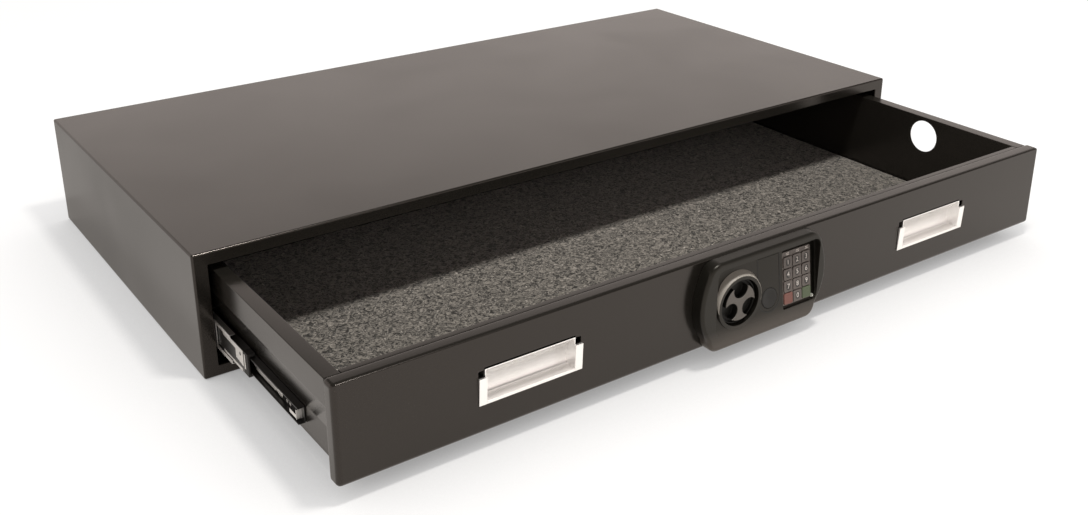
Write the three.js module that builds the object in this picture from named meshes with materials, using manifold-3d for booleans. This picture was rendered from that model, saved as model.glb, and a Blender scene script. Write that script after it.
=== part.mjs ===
// An under desk drawer safe: a flat steel cabinet with one wide drawer, shown pulled part of the way out.
// Millimetres, +X right, +Y to the back, +Z up. The origin is the centre of the cabinet's underside.
import * as THREE from 'three';
import { mergeVertices } from 'three/addons/utils/BufferGeometryUtils.js';
import Module from 'manifold-3d';

const wasm = await Module();
wasm.setup();
const { Manifold, Mesh: SolidMesh } = wasm;

// Cabinet
const cabinetWidth = 1016;
const cabinetDepth = 500;
const cabinetHeight = 140;
const sheet = 2;
const frameSide = 16;
const frameTop = 14;
const frameBottom = 12.5;
const backReturn = 12;

// Clearances
const seat = 0.3;
const cutMargin = 1;
const roundSteps = 24;
const fineSteps = 48;

// Drawer
const drawerOut = 266;
const frontGapSide = 3.5;
const frontGapTop = 6;
const frontGapBottom = 5;
const frontDepth = 18;
const trayInset = 8.5;
const trayDrop = 2;
const trayHang = 1.5;
const trayDepth = 470;
const sideRim = 16;
const rimOut = 6.5;
const sideFoot = 18;
const flareLow = 44;
const flareHigh = 74;
const frontRim = 7;
const backRim = 12;
const feltThickness = 3;
const feltSideMargin = 2.5;
const feltEndMargin = 6;
const portDiameter = 43;
const portFromFront = 160.5;
const portUp = 75;
const reliefBack = 16;
const reliefBelow = 8;
const reliefMargin = 2;
const reliefCorner = 12;

// Ball slides, measured outward from the drawer's side
const slideUp = 33;
const slideLength = 406;
const slideMetal = 1.2;
const innerMemberHeight = 17.5;
const innerMemberWidth = 7.5;
const innerMemberSetback = 78;
const middleMemberHeight = 25;
const middleMemberOut = 80;
const outerMemberHeight = 35;
const outerMemberSetback = 22;
const channelLip = 1.5;
const runningGap = 0.3;
const outerCageLength = 200;
const outerCageOut = 40;
const outerCageMetal = 1.1;
const innerCageLength = 150;
const innerCageSetback = 48;
const innerCageMetal = 0.5;
const cageStripWidth = 6;
const bumperLength = 10;
const leverLength = 64;
const leverHeight = 3;
const leverFromEnd = 44;
const leverMetal = 1.4;
const leverHub = 3;
const bracketFoot = 12;

// Cup pulls
const pullWidth = 117;
const pullHeight = 35;
const pullFromEnd = 201.5;
const pullUp = 48.5;
const pullDepth = 14;
const pullBend = 8.75;
const pullDeepest = 4.4;
const pullFootDepth = 8.4;
const pullMetal = 1.2;
const pullStripWidth = 7.5;
const pullStripShort = 6.5;
const pullLipHeight = 3.2;
const pullLipProud = 1.6;
const pullStripProud = 3;
const pullNotchInset = 1;

// Lock bezel, seen from the front
const bezelCentre = 2;
const bezelProud = 15;
const bezelShort = 1.5;
const bezelHalfMiddle = 90;
const bezelHalfTop = 82;
const bezelHalfBottom = 78;
const bezelCorner = 14;
const bezelTopDraw = 4;
const bezelBottomDraw = 2;
const bezelEdge = 4;
const slopeUp = 18.5;
const slopeAngle = 7.2;
const slopeHeight = 74;
const slopeLeft = -68;
const slopeRight = 80;
const slopeCorner = 9;

// Keypad on the sloping face
const padLeft = 30.5;
const padWidth = 42;
const padHeight = 60;
const padStart = 6;
const padThickness = 3.1;
const padSunk = 0.6;
const pocketRight = 6;
const pocketBelow = 4.5;
const pocketAbove = 2.5;
const keyColumns = 3;
const keyPitchX = 13.6;
const keyPitchZ = 13.7;
const keyGap = 1.1;
const keyProud = 0.9;
const keyCorner = 2;
const keyTravel = 1;
const keyRubber = 0.9;
const firstKeyRow = 7.3;
const boardThickness = 1.6;
const boardMargin = 1.5;
const lensDiameter = 4;

// Key override: a tongue shaped panel with a round cap over the emergency cylinder
const overrideX = 10;
const overrideUp = 21.5;
const panelHalfWidth = 15;
const panelThickness = 2.2;
const capDiameter = 22.4;
const capDish = 1.8;
const capRimWidth = 1;
const capChamfer = 0.6;
const cylinderDiameter = 16.4;
const boreClearance = 0.3;

// Knob and boltwork
const knobX = -35;
const knobUp = 49;
const knobRadius = 25.2;
const knobRecess = 12;
const knobBase = 3.5;
const knobRimWidth = 1.8;
const knobGap = 0.9;
const collarRadius = 35;
const collarFrontRadius = 30;
const gripRadius = 20;
const scoopRadius = 9.8;
const scoopDistance = 15;
const spindleDiameter = 10;
const spindleBore = 13;
const plateWidth = 160;
const plateMargin = 2.5;
const camRadius = 20;
const camThickness = 3;
const boltTravel = 22;
const crankPinDiameter = 6;
const crankPinPlay = 0.7;
const barThickness = 3;
const barHeight = 13;
const barHalfWidth = 70.5;
const boltSpacing = 120;
const boltDiameter = 10;
const boltProud = 6;
const coverSheet = 1.5;
const coverDepth = 30;
const coverBelowRim = 16;
const coverLift = 0.7;
const coverMargin = 4;
const solenoidWidth = 30;
const solenoidHeight = 16;
const solenoidLeft = 5;
const solenoidUp = 1.5;
const solenoidNose = 6;
const solenoidNoseRadius = 4;
const crankPinProud = 2;
const strikeDrop = 14;
const strikeDepth = 24;
const strikeClearance = 0.5;

// Battery box beside the lock, inside the drawer
const cellDiameter = 14.2;
const cellLength = 50.5;
const cellCount = 4;
const cellPitch = 15;
const cellPlay = 0.5;
const boxWall = 1.5;
const boxLeft = 100;
const boxUp = 20.5;
const cellButton = 1.5;
const cellButtonRadius = 2.8;
const lidThickness = 2;

// Places worked out from the sizes above
const cabinetFront = -cabinetDepth / 2;
const cabinetBack = cabinetDepth / 2;
const innerHalfWidth = cabinetWidth / 2 - sheet;
const drawerFace = cabinetFront - drawerOut;
const frontHalfWidth = cabinetWidth / 2 - frameSide - frontGapSide;
const frontBottom = frameBottom + frontGapBottom;
const frontTop = cabinetHeight - frameTop - frontGapTop;
const trayHalfWidth = frontHalfWidth - trayInset;
const rimHalfWidth = trayHalfWidth + rimOut;
const trayInside = rimHalfWidth - sideRim;
const trayFront = frontDepth;
const trayBack = trayFront + trayDepth;
const trayBottom = frontBottom - trayHang;
const trayTop = frontTop - trayDrop;
const trayFloor = trayBottom + sheet;
const feltTop = trayFloor + seat + feltThickness;
const portHeight = trayBottom + portUp;
const slideHeight = trayBottom + slideUp;
const pullCentreHeight = frontBottom + pullUp;
const pullX = frontHalfWidth - pullFromEnd;
const wallInside = trayFront + sheet;
const bezelFace = -seat - bezelProud;
const bezelBottom = frontBottom;
const bezelTop = frontTop - bezelShort;
const slopeStart = bezelBottom + slopeUp;
const slope = THREE.MathUtils.degToRad(slopeAngle);
const knobHeight = frontBottom + knobUp;
const coverTop = trayTop - coverBelowRim;
const coverBottom = feltTop + coverLift;
const plateBottom = coverBottom + coverSheet + plateMargin;
const plateTop = coverTop - coverSheet - plateMargin;
const boltTop = coverTop + boltProud;
const solenoidBottom = knobHeight + solenoidUp;
const boxBottom = frontBottom + boxUp;
const crankRadius = boltTravel / 2 / Math.sin(Math.PI / 4);
const plateFront = wallInside + seat;
const plateBack = plateFront + sheet;
const camFront = plateBack + 2 * seat;
const camBack = camFront + camThickness;
const barFront = camBack + seat;
const barBack = barFront + barThickness;
const boltSetback = barBack + seat + boltDiameter / 2;
const pinRestHeight = knobHeight - boltTravel / 2;
const pinRestX = knobX + boltTravel / 2;

function finish(color, roughness, metalness) {
  return new THREE.MeshStandardMaterial({ color, roughness, metalness });
}

const powderCoat = finish(0x3a3733, 0.42, 0.35);
const slideBlack = finish(0x171716, 0.4, 0.5);
const zincPlate = finish(0xb9b6ae, 0.35, 0.9);
const brightSteel = finish(0xa9a9a6, 0.3, 0.95);
const satinChrome = finish(0xd8d5d0, 0.25, 0.95);
const brass = finish(0xb89a55, 0.35, 0.9);
const blackPlastic = finish(0x2b2a27, 0.45, 0);
const knobPlastic = finish(0x4a4945, 0.4, 0);
const keypadGrey = finish(0x8b8580, 0.5, 0.2);
const keyRed = finish(0x9a4a40, 0.5, 0);
const keyGreen = finish(0x4f7350, 0.5, 0);
const bumperRubber = finish(0x121211, 0.8, 0);
const feltGrey = finish(0x55524d, 1, 0);
const boardGreen = finish(0x1f5a38, 0.6, 0);
const cellWrap = finish(0x6c6f72, 0.4, 0.3);
const lensClear = finish(0xcfd4c8, 0.2, 0);

// Turns a three.js geometry into a solid that can be cut and joined, and back
function solid(geometry) {
  const bare = geometry.clone();
  bare.deleteAttribute('normal');
  bare.deleteAttribute('uv');
  const merged = mergeVertices(bare, 1e-4);
  return new Manifold(new SolidMesh({
    numProp: 3,
    vertProperties: new Float32Array(merged.attributes.position.array),
    triVerts: new Uint32Array(merged.index.array),
  }));
}

function geometryOf(body) {
  const data = body.getMesh();
  const geometry = new THREE.BufferGeometry();
  geometry.setAttribute('position', new THREE.BufferAttribute(new Float32Array(data.vertProperties), 3));
  geometry.setIndex(new THREE.BufferAttribute(new Uint32Array(data.triVerts), 1));
  geometry.computeVertexNormals();
  return geometry;
}

function piece(parent, name, body, material) {
  const mesh = new THREE.Mesh(geometryOf(body), material);
  mesh.name = name;
  parent.add(mesh);
  return mesh;
}

function join(bodies) {
  return bodies.reduce((whole, body) => whole.add(body));
}

// A block between two corners
function block(x0, x1, y0, y1, z0, z1) {
  const geometry = new THREE.BoxGeometry(x1 - x0, y1 - y0, z1 - z0);
  geometry.translate((x0 + x1) / 2, (y0 + y1) / 2, (z0 + z1) / 2);
  return solid(geometry);
}

// A shape drawn in X and Z, given thickness from y0 back to y1
function plateAlongY(shape, y0, y1, curveSegments = 6) {
  const geometry = new THREE.ExtrudeGeometry(shape, { depth: y1 - y0, bevelEnabled: false, curveSegments });
  geometry.rotateX(Math.PI / 2);
  geometry.translate(0, y1, 0);
  return geometry;
}

// A shape drawn in Y and Z, run along X
function plateAlongX(shape, x0, x1, curveSegments = 6) {
  const geometry = new THREE.ExtrudeGeometry(shape, { depth: x1 - x0, bevelEnabled: false, curveSegments });
  geometry.rotateX(Math.PI / 2);
  geometry.rotateZ(Math.PI / 2);
  geometry.translate(x0, 0, 0);
  return geometry;
}

function polygon(points) {
  return new THREE.Shape(points.map(([a, b]) => new THREE.Vector2(a, b)));
}

// Round bars along each axis
function barAlongY(x, z, radius, y0, y1, steps = roundSteps) {
  const geometry = new THREE.CylinderGeometry(radius, radius, y1 - y0, steps);
  return solid(geometry.translate(x, (y0 + y1) / 2, z));
}

function barAlongZ(x, y, radius, z0, z1, steps = roundSteps) {
  const geometry = new THREE.CylinderGeometry(radius, radius, z1 - z0, steps);
  return solid(geometry.rotateX(Math.PI / 2).translate(x, y, (z0 + z1) / 2));
}

function barAlongX(y, z, radius, x0, x1, steps = roundSteps) {
  const geometry = new THREE.CylinderGeometry(radius, radius, x1 - x0, steps);
  return solid(geometry.rotateZ(Math.PI / 2).translate((x0 + x1) / 2, y, z));
}

function roundedRect(x0, x1, z0, z1, radius) {
  const shape = new THREE.Shape();
  shape.moveTo(x0 + radius, z0);
  shape.lineTo(x1 - radius, z0);
  shape.absarc(x1 - radius, z0 + radius, radius, -Math.PI / 2, 0, false);
  shape.lineTo(x1, z1 - radius);
  shape.absarc(x1 - radius, z1 - radius, radius, 0, Math.PI / 2, false);
  shape.lineTo(x0 + radius, z1);
  shape.absarc(x0 + radius, z1 - radius, radius, Math.PI / 2, Math.PI, false);
  shape.lineTo(x0, z0 + radius);
  shape.absarc(x0 + radius, z0 + radius, radius, Math.PI, 1.5 * Math.PI, false);
  return shape;
}

const sides = [['left', -1], ['right', 1]];

// Cabinet: a folded steel wrap with a frame round the drawer's opening
function cabinetShell() {
  const half = cabinetWidth / 2;
  const outside = block(-half, half, cabinetFront, cabinetBack, 0, cabinetHeight);
  const inside = block(-innerHalfWidth, innerHalfWidth, cabinetFront + sheet, cabinetBack + cutMargin,
    sheet, cabinetHeight - sheet);
  const opening = block(-half + frameSide, half - frameSide, cabinetFront - cutMargin,
    cabinetFront + sheet + cutMargin, frameBottom, cabinetHeight - frameTop);
  return outside.subtract(inside).subtract(opening);
}

// The back panel drops inside the wrap, with a return folded forward all round
function cabinetBackPanel() {
  const half = innerHalfWidth - seat;
  const bottom = sheet + seat;
  const top = cabinetHeight - sheet - seat;
  const folded = block(-half, half, cabinetBack - backReturn, cabinetBack, bottom, top);
  const hollow = block(-half + sheet, half - sheet, cabinetBack - backReturn - cutMargin,
    cabinetBack - sheet, bottom + sheet, top - sheet);
  return folded.subtract(hollow);
}

// The strike is an angle under the cabinet's top, which the raised bolts stand behind
function lockStrike() {
  const top = cabinetHeight - sheet - seat;
  const back = cabinetFront + boltSetback - boltDiameter / 2 - strikeClearance;
  const front = back - sheet;
  const half = plateWidth / 2;
  const leg = block(-half, half, front, back, cabinetHeight - sheet - strikeDrop, top);
  return leg.add(block(-half, half, front, front + strikeDepth, top - sheet, top));
}

// Slide sections: distances run outward from the drawer's side, heights from the slide's middle
const cageWeb = innerMemberWidth + runningGap;
const middleWeb = cageWeb + innerCageMetal + runningGap;
const outerCageWeb = middleWeb + slideMetal + runningGap;
const outerWeb = outerCageWeb + outerCageMetal + runningGap;
const slideWidth = outerWeb + slideMetal;
const slideInside = trayHalfWidth + seat;
const slideOutside = slideInside + slideWidth;

function channel(side, lip, web, metal, halfHeight, flange) {
  const back = web + metal;
  const outline = [
    [lip, halfHeight], [back, halfHeight], [back, -halfHeight], [lip, -halfHeight],
    [lip, -halfHeight + flange], [web, -halfHeight + flange],
    [web, halfHeight - flange], [lip, halfHeight - flange],
  ];
  return polygon(outline.map(([out, up]) => [side * (slideInside + out), slideHeight + up]));
}

function outerMember(side) {
  const front = cabinetFront + outerMemberSetback;
  const section = channel(side, channelLip, outerWeb, slideMetal, outerMemberHeight / 2, slideMetal);
  return solid(plateAlongY(section, front, front + slideLength));
}

function outerCage(side) {
  const top = outerMemberHeight / 2 - slideMetal - runningGap;
  const flange = top - middleMemberHeight / 2 - runningGap;
  const lip = outerCageWeb + outerCageMetal - cageStripWidth;
  const front = cabinetFront - outerCageOut;
  const section = channel(side, lip, outerCageWeb, outerCageMetal, top, flange);
  return solid(plateAlongY(section, front, front + outerCageLength));
}

const middleFront = cabinetFront - middleMemberOut;

function middleMember(side) {
  const section = channel(side, channelLip, middleWeb, slideMetal, middleMemberHeight / 2, slideMetal);
  const front = middleFront + bumperLength;
  return solid(plateAlongY(section, front + seat, front + slideLength));
}

function middleBumper(side) {
  const flange = (middleMemberHeight - innerMemberHeight) / 2 - runningGap;
  const metal = middleWeb + slideMetal - cageWeb;
  const section = channel(side, channelLip, cageWeb, metal, middleMemberHeight / 2, flange);
  return solid(plateAlongY(section, middleFront, middleFront + bumperLength));
}

function innerCage(side) {
  const top = middleMemberHeight / 2 - slideMetal - runningGap;
  const flange = top - innerMemberHeight / 2 - runningGap;
  const lip = cageWeb + innerCageMetal - cageStripWidth;
  const front = middleFront + innerCageSetback;
  const section = channel(side, lip, cageWeb, innerCageMetal, top, flange);
  return solid(plateAlongY(section, front, front + innerCageLength));
}

// The drawer's own member opens outward, towards the middle member
function innerMember(side) {
  const half = innerMemberHeight / 2;
  const outline = [
    [0, -half], [innerMemberWidth, -half],
    [innerMemberWidth, -half + slideMetal], [slideMetal, -half + slideMetal],
    [slideMetal, half - slideMetal], [innerMemberWidth, half - slideMetal],
    [innerMemberWidth, half], [0, half],
  ];
  const section = polygon(outline.map(([out, up]) => [side * (slideInside + out), slideHeight + up]));
  return solid(plateAlongY(section, innerMemberSetback, innerMemberSetback + slideLength));
}

// The lever lies in the drawer's member and turns about its back end
function releaseLever(side) {
  const near = side * (slideInside + slideMetal + seat);
  const far = near + side * leverMetal;
  const front = innerMemberSetback + leverFromEnd;
  const back = front + leverLength;
  const half = leverHeight / 2;
  const x0 = Math.min(near, far);
  const x1 = Math.max(near, far);
  const strip = block(x0, x1, front, back, slideHeight - half, slideHeight + half);
  return strip.add(barAlongX(back, slideHeight, leverHub, x0, x1, 12));
}

// A hat section holds each slide off the cabinet's side
function slideBracket(side) {
  const crown = slideOutside + seat;
  const wall = innerHalfWidth - seat;
  const half = outerMemberHeight / 2;
  const outline = [
    [crown, half], [wall - sheet, half], [wall - sheet, half + bracketFoot], [wall, half + bracketFoot],
    [wall, half - sheet], [crown + sheet, half - sheet],
    [crown + sheet, -half + sheet], [wall, -half + sheet],
    [wall, -half - bracketFoot], [wall - sheet, -half - bracketFoot], [wall - sheet, -half], [crown, -half],
  ];
  const section = polygon(outline.map(([out, up]) => [side * out, slideHeight + up]));
  const front = cabinetFront + outerMemberSetback;
  return solid(plateAlongY(section, front, front + slideLength));
}

// Drawer: everything from here is measured from the drawer's face
function drawerFloorPan() {
  const half = trayInside - seat;
  const pan = join([
    block(-half, half, trayFront, trayBack, trayBottom, trayFloor),
    block(-half, half, trayFront, wallInside, trayBottom, trayTop),
    block(-half, half, trayBack - sheet, trayBack, trayBottom, trayTop),
    block(-half, half, trayFront, trayFront + frontRim, trayTop - sheet, trayTop),
    block(-half, half, trayBack - backRim, trayBack, trayTop - sheet, trayTop),
  ]);
  const start = trayFront - cutMargin;
  const end = wallInside + cutMargin;
  return pan
    .subtract(barAlongY(knobX, knobHeight, spindleBore / 2, start, end))
    .subtract(barAlongY(overrideX, overrideHeight, cylinderBore / 2, start, end));
}

// Each side is one sheet folded over its rim. Its outer leg draws in above the slide, which is fixed to it,
// and stops short of the floor. The cable port is round in the inner leg and wider in the outer one.
function drawerSide(side) {
  const foot = trayBottom + sideFoot;
  const low = trayBottom + flareLow;
  const high = trayBottom + flareHigh;
  const outline = [
    [trayHalfWidth, foot], [trayHalfWidth, low], [rimHalfWidth, high], [rimHalfWidth, trayTop],
    [trayInside, trayTop], [trayInside, trayBottom], [trayInside + sheet, trayBottom],
    [trayInside + sheet, trayTop - sheet], [rimHalfWidth - sheet, trayTop - sheet],
    [rimHalfWidth - sheet, high], [trayHalfWidth - sheet, low], [trayHalfWidth - sheet, foot],
  ];
  const section = polygon(outline.map(([out, up]) => [side * out, up]));
  const whole = solid(plateAlongY(section, trayFront, trayBack));
  if (side < 0) {
    return whole;
  }
  const radius = portDiameter / 2;
  const start = portFromFront - radius - reliefMargin;
  const end = portFromFront + radius + reliefBack;
  const bottom = portHeight - radius - reliefBelow;
  const relief = roundedRect(start, end, bottom, portHeight + radius, reliefCorner);
  const between = trayInside + sheet + cutMargin;
  return whole
    .subtract(barAlongX(portFromFront, portHeight, radius, trayInside - cutMargin, between, fineSteps))
    .subtract(solid(plateAlongX(relief, between, rimHalfWidth + cutMargin, 8)));
}

function drawerFront() {
  const half = frontHalfWidth;
  const pan = block(-half, half, 0, frontDepth - seat, frontBottom, frontTop);
  const hollow = block(-half + sheet, half - sheet, sheet, frontDepth + cutMargin,
    frontBottom + sheet, frontTop - sheet);
  let cut = pan.subtract(hollow);
  const mouthHalf = pullWidth / 2 - pullStripWidth + seat;
  const notchHalf = pullWidth / 2 - pullNotchInset;
  const bottom = pullCentreHeight - pullHeight / 2;
  const top = pullCentreHeight + pullHeight / 2;
  for (const centre of [-pullX, pullX]) {
    const mouth = block(centre - mouthHalf, centre + mouthHalf, -cutMargin, sheet + cutMargin,
      bottom + pullLipHeight - pullMetal - seat, top + 2 * pullMetal);
    const notches = block(centre - notchHalf, centre + notchHalf, -cutMargin, sheet + cutMargin,
      top - pullStripShort, top);
    cut = cut.subtract(mouth).subtract(notches);
  }
  const window = block(padLeft - boardMargin, padLeft + padWidth + boardMargin, -cutMargin,
    sheet + cutMargin, boardBottom - boardMargin, boardTop + boardMargin);
  return cut
    .subtract(window)
    .subtract(barAlongY(knobX, knobHeight, spindleBore / 2, -cutMargin, sheet + cutMargin))
    .subtract(barAlongY(overrideX, overrideHeight, cylinderBore / 2, -cutMargin, sheet + cutMargin));
}

function feltLiner() {
  const half = trayInside - feltSideMargin;
  const front = wallInside + feltEndMargin;
  const back = trayBack - sheet - feltEndMargin;
  return block(-half, half, front, back, trayFloor + seat, feltTop);
}

// A cup pull: a curved finger well that is deepest low down, a lip along the bottom and a strip at each end
function traceCupBack(shape) {
  const top = pullHeight / 2 + pullMetal;
  const bottom = pullLipHeight - pullHeight / 2 - pullMetal;
  const back = pullDepth + pullMetal;
  shape.lineTo(-seat, bottom);
  shape.lineTo(pullFootDepth, bottom);
  shape.quadraticCurveTo(back, bottom, back, -pullDeepest);
  shape.quadraticCurveTo(back, pullBend + pullMetal, -seat, top);
}

function cupOutline() {
  const top = pullHeight / 2;
  const lipTop = -top + pullLipHeight;
  const shape = new THREE.Shape();
  shape.moveTo(-seat, top);
  shape.quadraticCurveTo(pullDepth, pullBend, pullDepth, -pullDeepest);
  shape.quadraticCurveTo(pullDepth, lipTop, pullFootDepth, lipTop);
  shape.lineTo(-pullLipProud, lipTop);
  shape.lineTo(-pullLipProud, -top);
  shape.lineTo(-seat, -top);
  traceCupBack(shape);
  return shape;
}

function cupEnd() {
  const shape = new THREE.Shape();
  shape.moveTo(-seat, pullHeight / 2 + pullMetal);
  traceCupBack(shape);
  return shape;
}

function cupPull() {
  const half = pullWidth / 2;
  const well = half - pullStripWidth;
  const bottom = -pullHeight / 2;
  const top = pullHeight / 2 - pullStripShort;
  const strip = polygon([[-seat, bottom], [-pullLipProud, bottom], [-pullStripProud, top], [-seat, top]]);
  return join([
    solid(plateAlongX(cupOutline(), -well, well, 12)),
    solid(plateAlongX(cupEnd(), -well, -well + pullMetal, 12)),
    solid(plateAlongX(cupEnd(), well - pullMetal, well, 12)),
    solid(plateAlongX(strip, -half, -well + pullMetal)),
    solid(plateAlongX(strip, well - pullMetal, half)),
  ]);
}

// Lock bezel: bowed sides, rounded corners and a face that slopes back towards the top
function bezelOutline() {
  const middle = (bezelBottom + bezelTop) / 2;
  const low = bezelBottom + bezelCorner;
  const high = bezelTop - bezelCorner;
  const wide = bezelHalfMiddle;
  const foot = bezelHalfBottom;
  const head = bezelHalfTop;
  const chin = foot - bezelCorner;
  const brow = head - bezelTopDraw - bezelCorner;
  const shape = new THREE.Shape();
  const at = (side, half) => bezelCentre + side * half;
  shape.moveTo(at(-1, chin), bezelBottom);
  shape.lineTo(at(1, chin), bezelBottom);
  shape.quadraticCurveTo(at(1, foot - bezelBottomDraw), bezelBottom, at(1, foot), low);
  shape.quadraticCurveTo(at(1, wide), (low + middle) / 2, at(1, wide), middle);
  shape.quadraticCurveTo(at(1, wide), (high + middle) / 2, at(1, head), high);
  shape.quadraticCurveTo(at(1, head - bezelTopDraw), bezelTop, at(1, brow), bezelTop);
  shape.lineTo(at(-1, brow), bezelTop);
  shape.quadraticCurveTo(at(-1, head - bezelTopDraw), bezelTop, at(-1, head), high);
  shape.quadraticCurveTo(at(-1, wide), (high + middle) / 2, at(-1, wide), middle);
  shape.quadraticCurveTo(at(-1, wide), (low + middle) / 2, at(-1, foot), low);
  shape.quadraticCurveTo(at(-1, foot - bezelBottomDraw), bezelBottom, at(-1, chin), bezelBottom);
  return shape;
}

// Moves what is drawn on the sloping face to its place in the lock
function onSlope(geometry) {
  return geometry.rotateX(-slope).translate(0, bezelFace, slopeStart);
}

function tongueOutline(halfWidth, top) {
  const shape = new THREE.Shape();
  shape.moveTo(overrideX + halfWidth, top);
  shape.lineTo(overrideX - halfWidth, top);
  shape.lineTo(overrideX - halfWidth, overrideUp);
  shape.absarc(overrideX, overrideUp, halfWidth, Math.PI, 2 * Math.PI, false);
  return shape;
}

const tongueTop = padStart + padHeight + pocketAbove;
const padSeatDepth = padSunk + padThickness + seat;

function lockBezel() {
  const straight = bezelProud - bezelEdge;
  const shell = new THREE.ExtrudeGeometry(bezelOutline(), {
    depth: straight,
    bevelEnabled: true,
    bevelThickness: bezelEdge,
    bevelSize: bezelEdge,
    bevelOffset: -bezelEdge,
    bevelSegments: 4,
    curveSegments: 10,
  });
  shell.rotateX(Math.PI / 2);
  shell.translate(0, -seat, 0);
  const recessRadius = knobRadius + knobGap;
  const recessFloor = bezelFace + knobRecess;
  const collar = new THREE.CylinderGeometry(collarRadius, collarFrontRadius, straight, fineSteps);
  collar.translate(knobX, bezelFace + straight / 2, knobHeight);
  const face = roundedRect(slopeLeft, slopeRight, 0, slopeHeight, slopeCorner);
  const pocketEnd = padLeft + padWidth + pocketRight;
  const pocket = roundedRect(padLeft - seat, pocketEnd, padStart - pocketBelow, tongueTop, keyCorner);
  const tongue = tongueOutline(panelHalfWidth + seat, tongueTop);
  return solid(shell)
    .subtract(block(-cabinetWidth, cabinetWidth, -seat, bezelProud, 0, cabinetHeight))
    .subtract(solid(onSlope(plateAlongY(face, -2 * bezelProud, 0))))
    .add(solid(collar))
    .subtract(barAlongY(knobX, knobHeight, recessRadius, bezelFace - cutMargin, recessFloor, fineSteps))
    .subtract(barAlongY(knobX, knobHeight, spindleBore / 2, bezelFace, 0))
    .subtract(solid(onSlope(plateAlongY(pocket, -bezelProud, padSeatDepth, 3))))
    .subtract(solid(onSlope(plateAlongY(tongue, -bezelProud, panelThickness + seat, 12))))
    .subtract(barAlongY(overrideX, overrideHeight, cylinderBore / 2, bezelFace + cutMargin, 0));
}

// The pieces on the sloping face are drawn in its own plane: X across, Z up the slope, Y into the bezel
function keyPlaces() {
  const names = ['cancel', '0', 'enter', '7', '8', '9', '4', '5', '6', '1', '2', '3'];
  const left = padLeft + padWidth / 2 - keyPitchX * (keyColumns - 1) / 2;
  return names.map((name, n) => ({
    name: `key_${name}`,
    x: left + keyPitchX * (n % keyColumns),
    z: padStart + firstKeyRow + keyPitchZ * Math.floor(n / keyColumns),
    material: { cancel: keyRed, enter: keyGreen }[name] ?? keypadGrey,
  }));
}

function keyShape(x, z, extra) {
  const halfX = (keyPitchX - keyGap) / 2 + extra;
  const halfZ = (keyPitchZ - keyGap) / 2 + extra;
  return roundedRect(x - halfX, x + halfX, z - halfZ, z + halfZ, keyCorner + extra);
}

function keypadPlate() {
  const outline = roundedRect(padLeft, padLeft + padWidth, padStart, padStart + padHeight, keyCorner);
  let plate = solid(plateAlongY(outline, padSunk, padSunk + padThickness, 3));
  for (const key of keyPlaces()) {
    const hole = plateAlongY(keyShape(key.x, key.z, seat), padSunk - cutMargin,
      padSunk + padThickness + cutMargin, 2);
    plate = plate.subtract(solid(hole));
  }
  return plate;
}

function overridePanel() {
  const panel = solid(plateAlongY(tongueOutline(panelHalfWidth, tongueTop - seat), 0, panelThickness, 12));
  const radius = capDiameter / 2 + seat;
  const end = panelThickness + cutMargin;
  return panel.subtract(barAlongY(overrideX, overrideUp, radius, -cutMargin, end, fineSteps));
}

// The cap is dished in front
function overrideCap() {
  const radius = capDiameter / 2;
  const rim = radius - capChamfer - capRimWidth;
  const profile = [];
  const steps = 4;
  for (let n = 0; n <= steps; n += 1) {
    const share = n / steps;
    profile.push([rim * share, capDish * Math.cos(share * Math.PI / 2) - capChamfer]);
  }
  profile.push([radius - capChamfer, -capChamfer], [radius, 0]);
  profile.push([radius, panelThickness], [0, panelThickness]);
  const geometry = new THREE.LatheGeometry(profile.map(([r, y]) => new THREE.Vector2(r, y)), fineSteps);
  return geometry.translate(overrideX, 0, overrideUp);
}

// The knob is a shallow cup with a three armed grip standing in it
function lockKnob() {
  const front = bezelFace;
  const back = bezelFace + knobRecess - seat;
  const floor = back - knobBase;
  const rimFront = floor - knobBase;
  const cup = barAlongY(0, 0, knobRadius, rimFront, back, fineSteps)
    .subtract(barAlongY(0, 0, knobRadius - knobRimWidth, rimFront - cutMargin, floor, fineSteps));
  let grip = barAlongY(0, 0, gripRadius, front, floor + seat, fineSteps);
  for (const turn of [90, 210, 330]) {
    const angle = THREE.MathUtils.degToRad(turn);
    const x = scoopDistance * Math.cos(angle);
    const z = scoopDistance * Math.sin(angle);
    grip = grip.subtract(barAlongY(x, z, scoopRadius, front - cutMargin, floor, 32));
  }
  const bore = barAlongY(0, 0, spindleDiameter / 2 + boreClearance, back - 2 * knobBase, back + cutMargin);
  return cup.add(grip).subtract(bore);
}

function knobSpindle() {
  const front = bezelFace + knobRecess - 2 * knobBase;
  return barAlongY(0, 0, spindleDiameter / 2, front, camBack, 16);
}

// The cam's crank pin works in the bolt bar's slot
function lockCam() {
  const bore = spindleDiameter / 2 + boreClearance;
  const disc = barAlongY(0, 0, camRadius, camFront, camBack, 32)
    .subtract(barAlongY(0, 0, bore, camFront - cutMargin, camBack + cutMargin, 16));
  const reach = boltTravel / 2;
  const pin = barAlongY(reach, -reach, crankPinDiameter / 2, camBack - seat, barBack + crankPinProud, 16);
  return disc.add(pin);
}

function boltBar() {
  const slotHalf = crankPinDiameter / 2 + crankPinPlay;
  const bar = block(-barHalfWidth, barHalfWidth, barFront, barBack,
    pinRestHeight - barHeight / 2, pinRestHeight + barHeight / 2);
  const slot = block(pinRestX - slotHalf, knobX + crankRadius + slotHalf, barFront - cutMargin,
    barBack + cutMargin, pinRestHeight - slotHalf, pinRestHeight + slotHalf);
  return bar.subtract(slot);
}

function lockBolt(x) {
  return barAlongZ(x, boltSetback, boltDiameter / 2, pinRestHeight - barHeight / 2, boltTop, 20);
}

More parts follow.
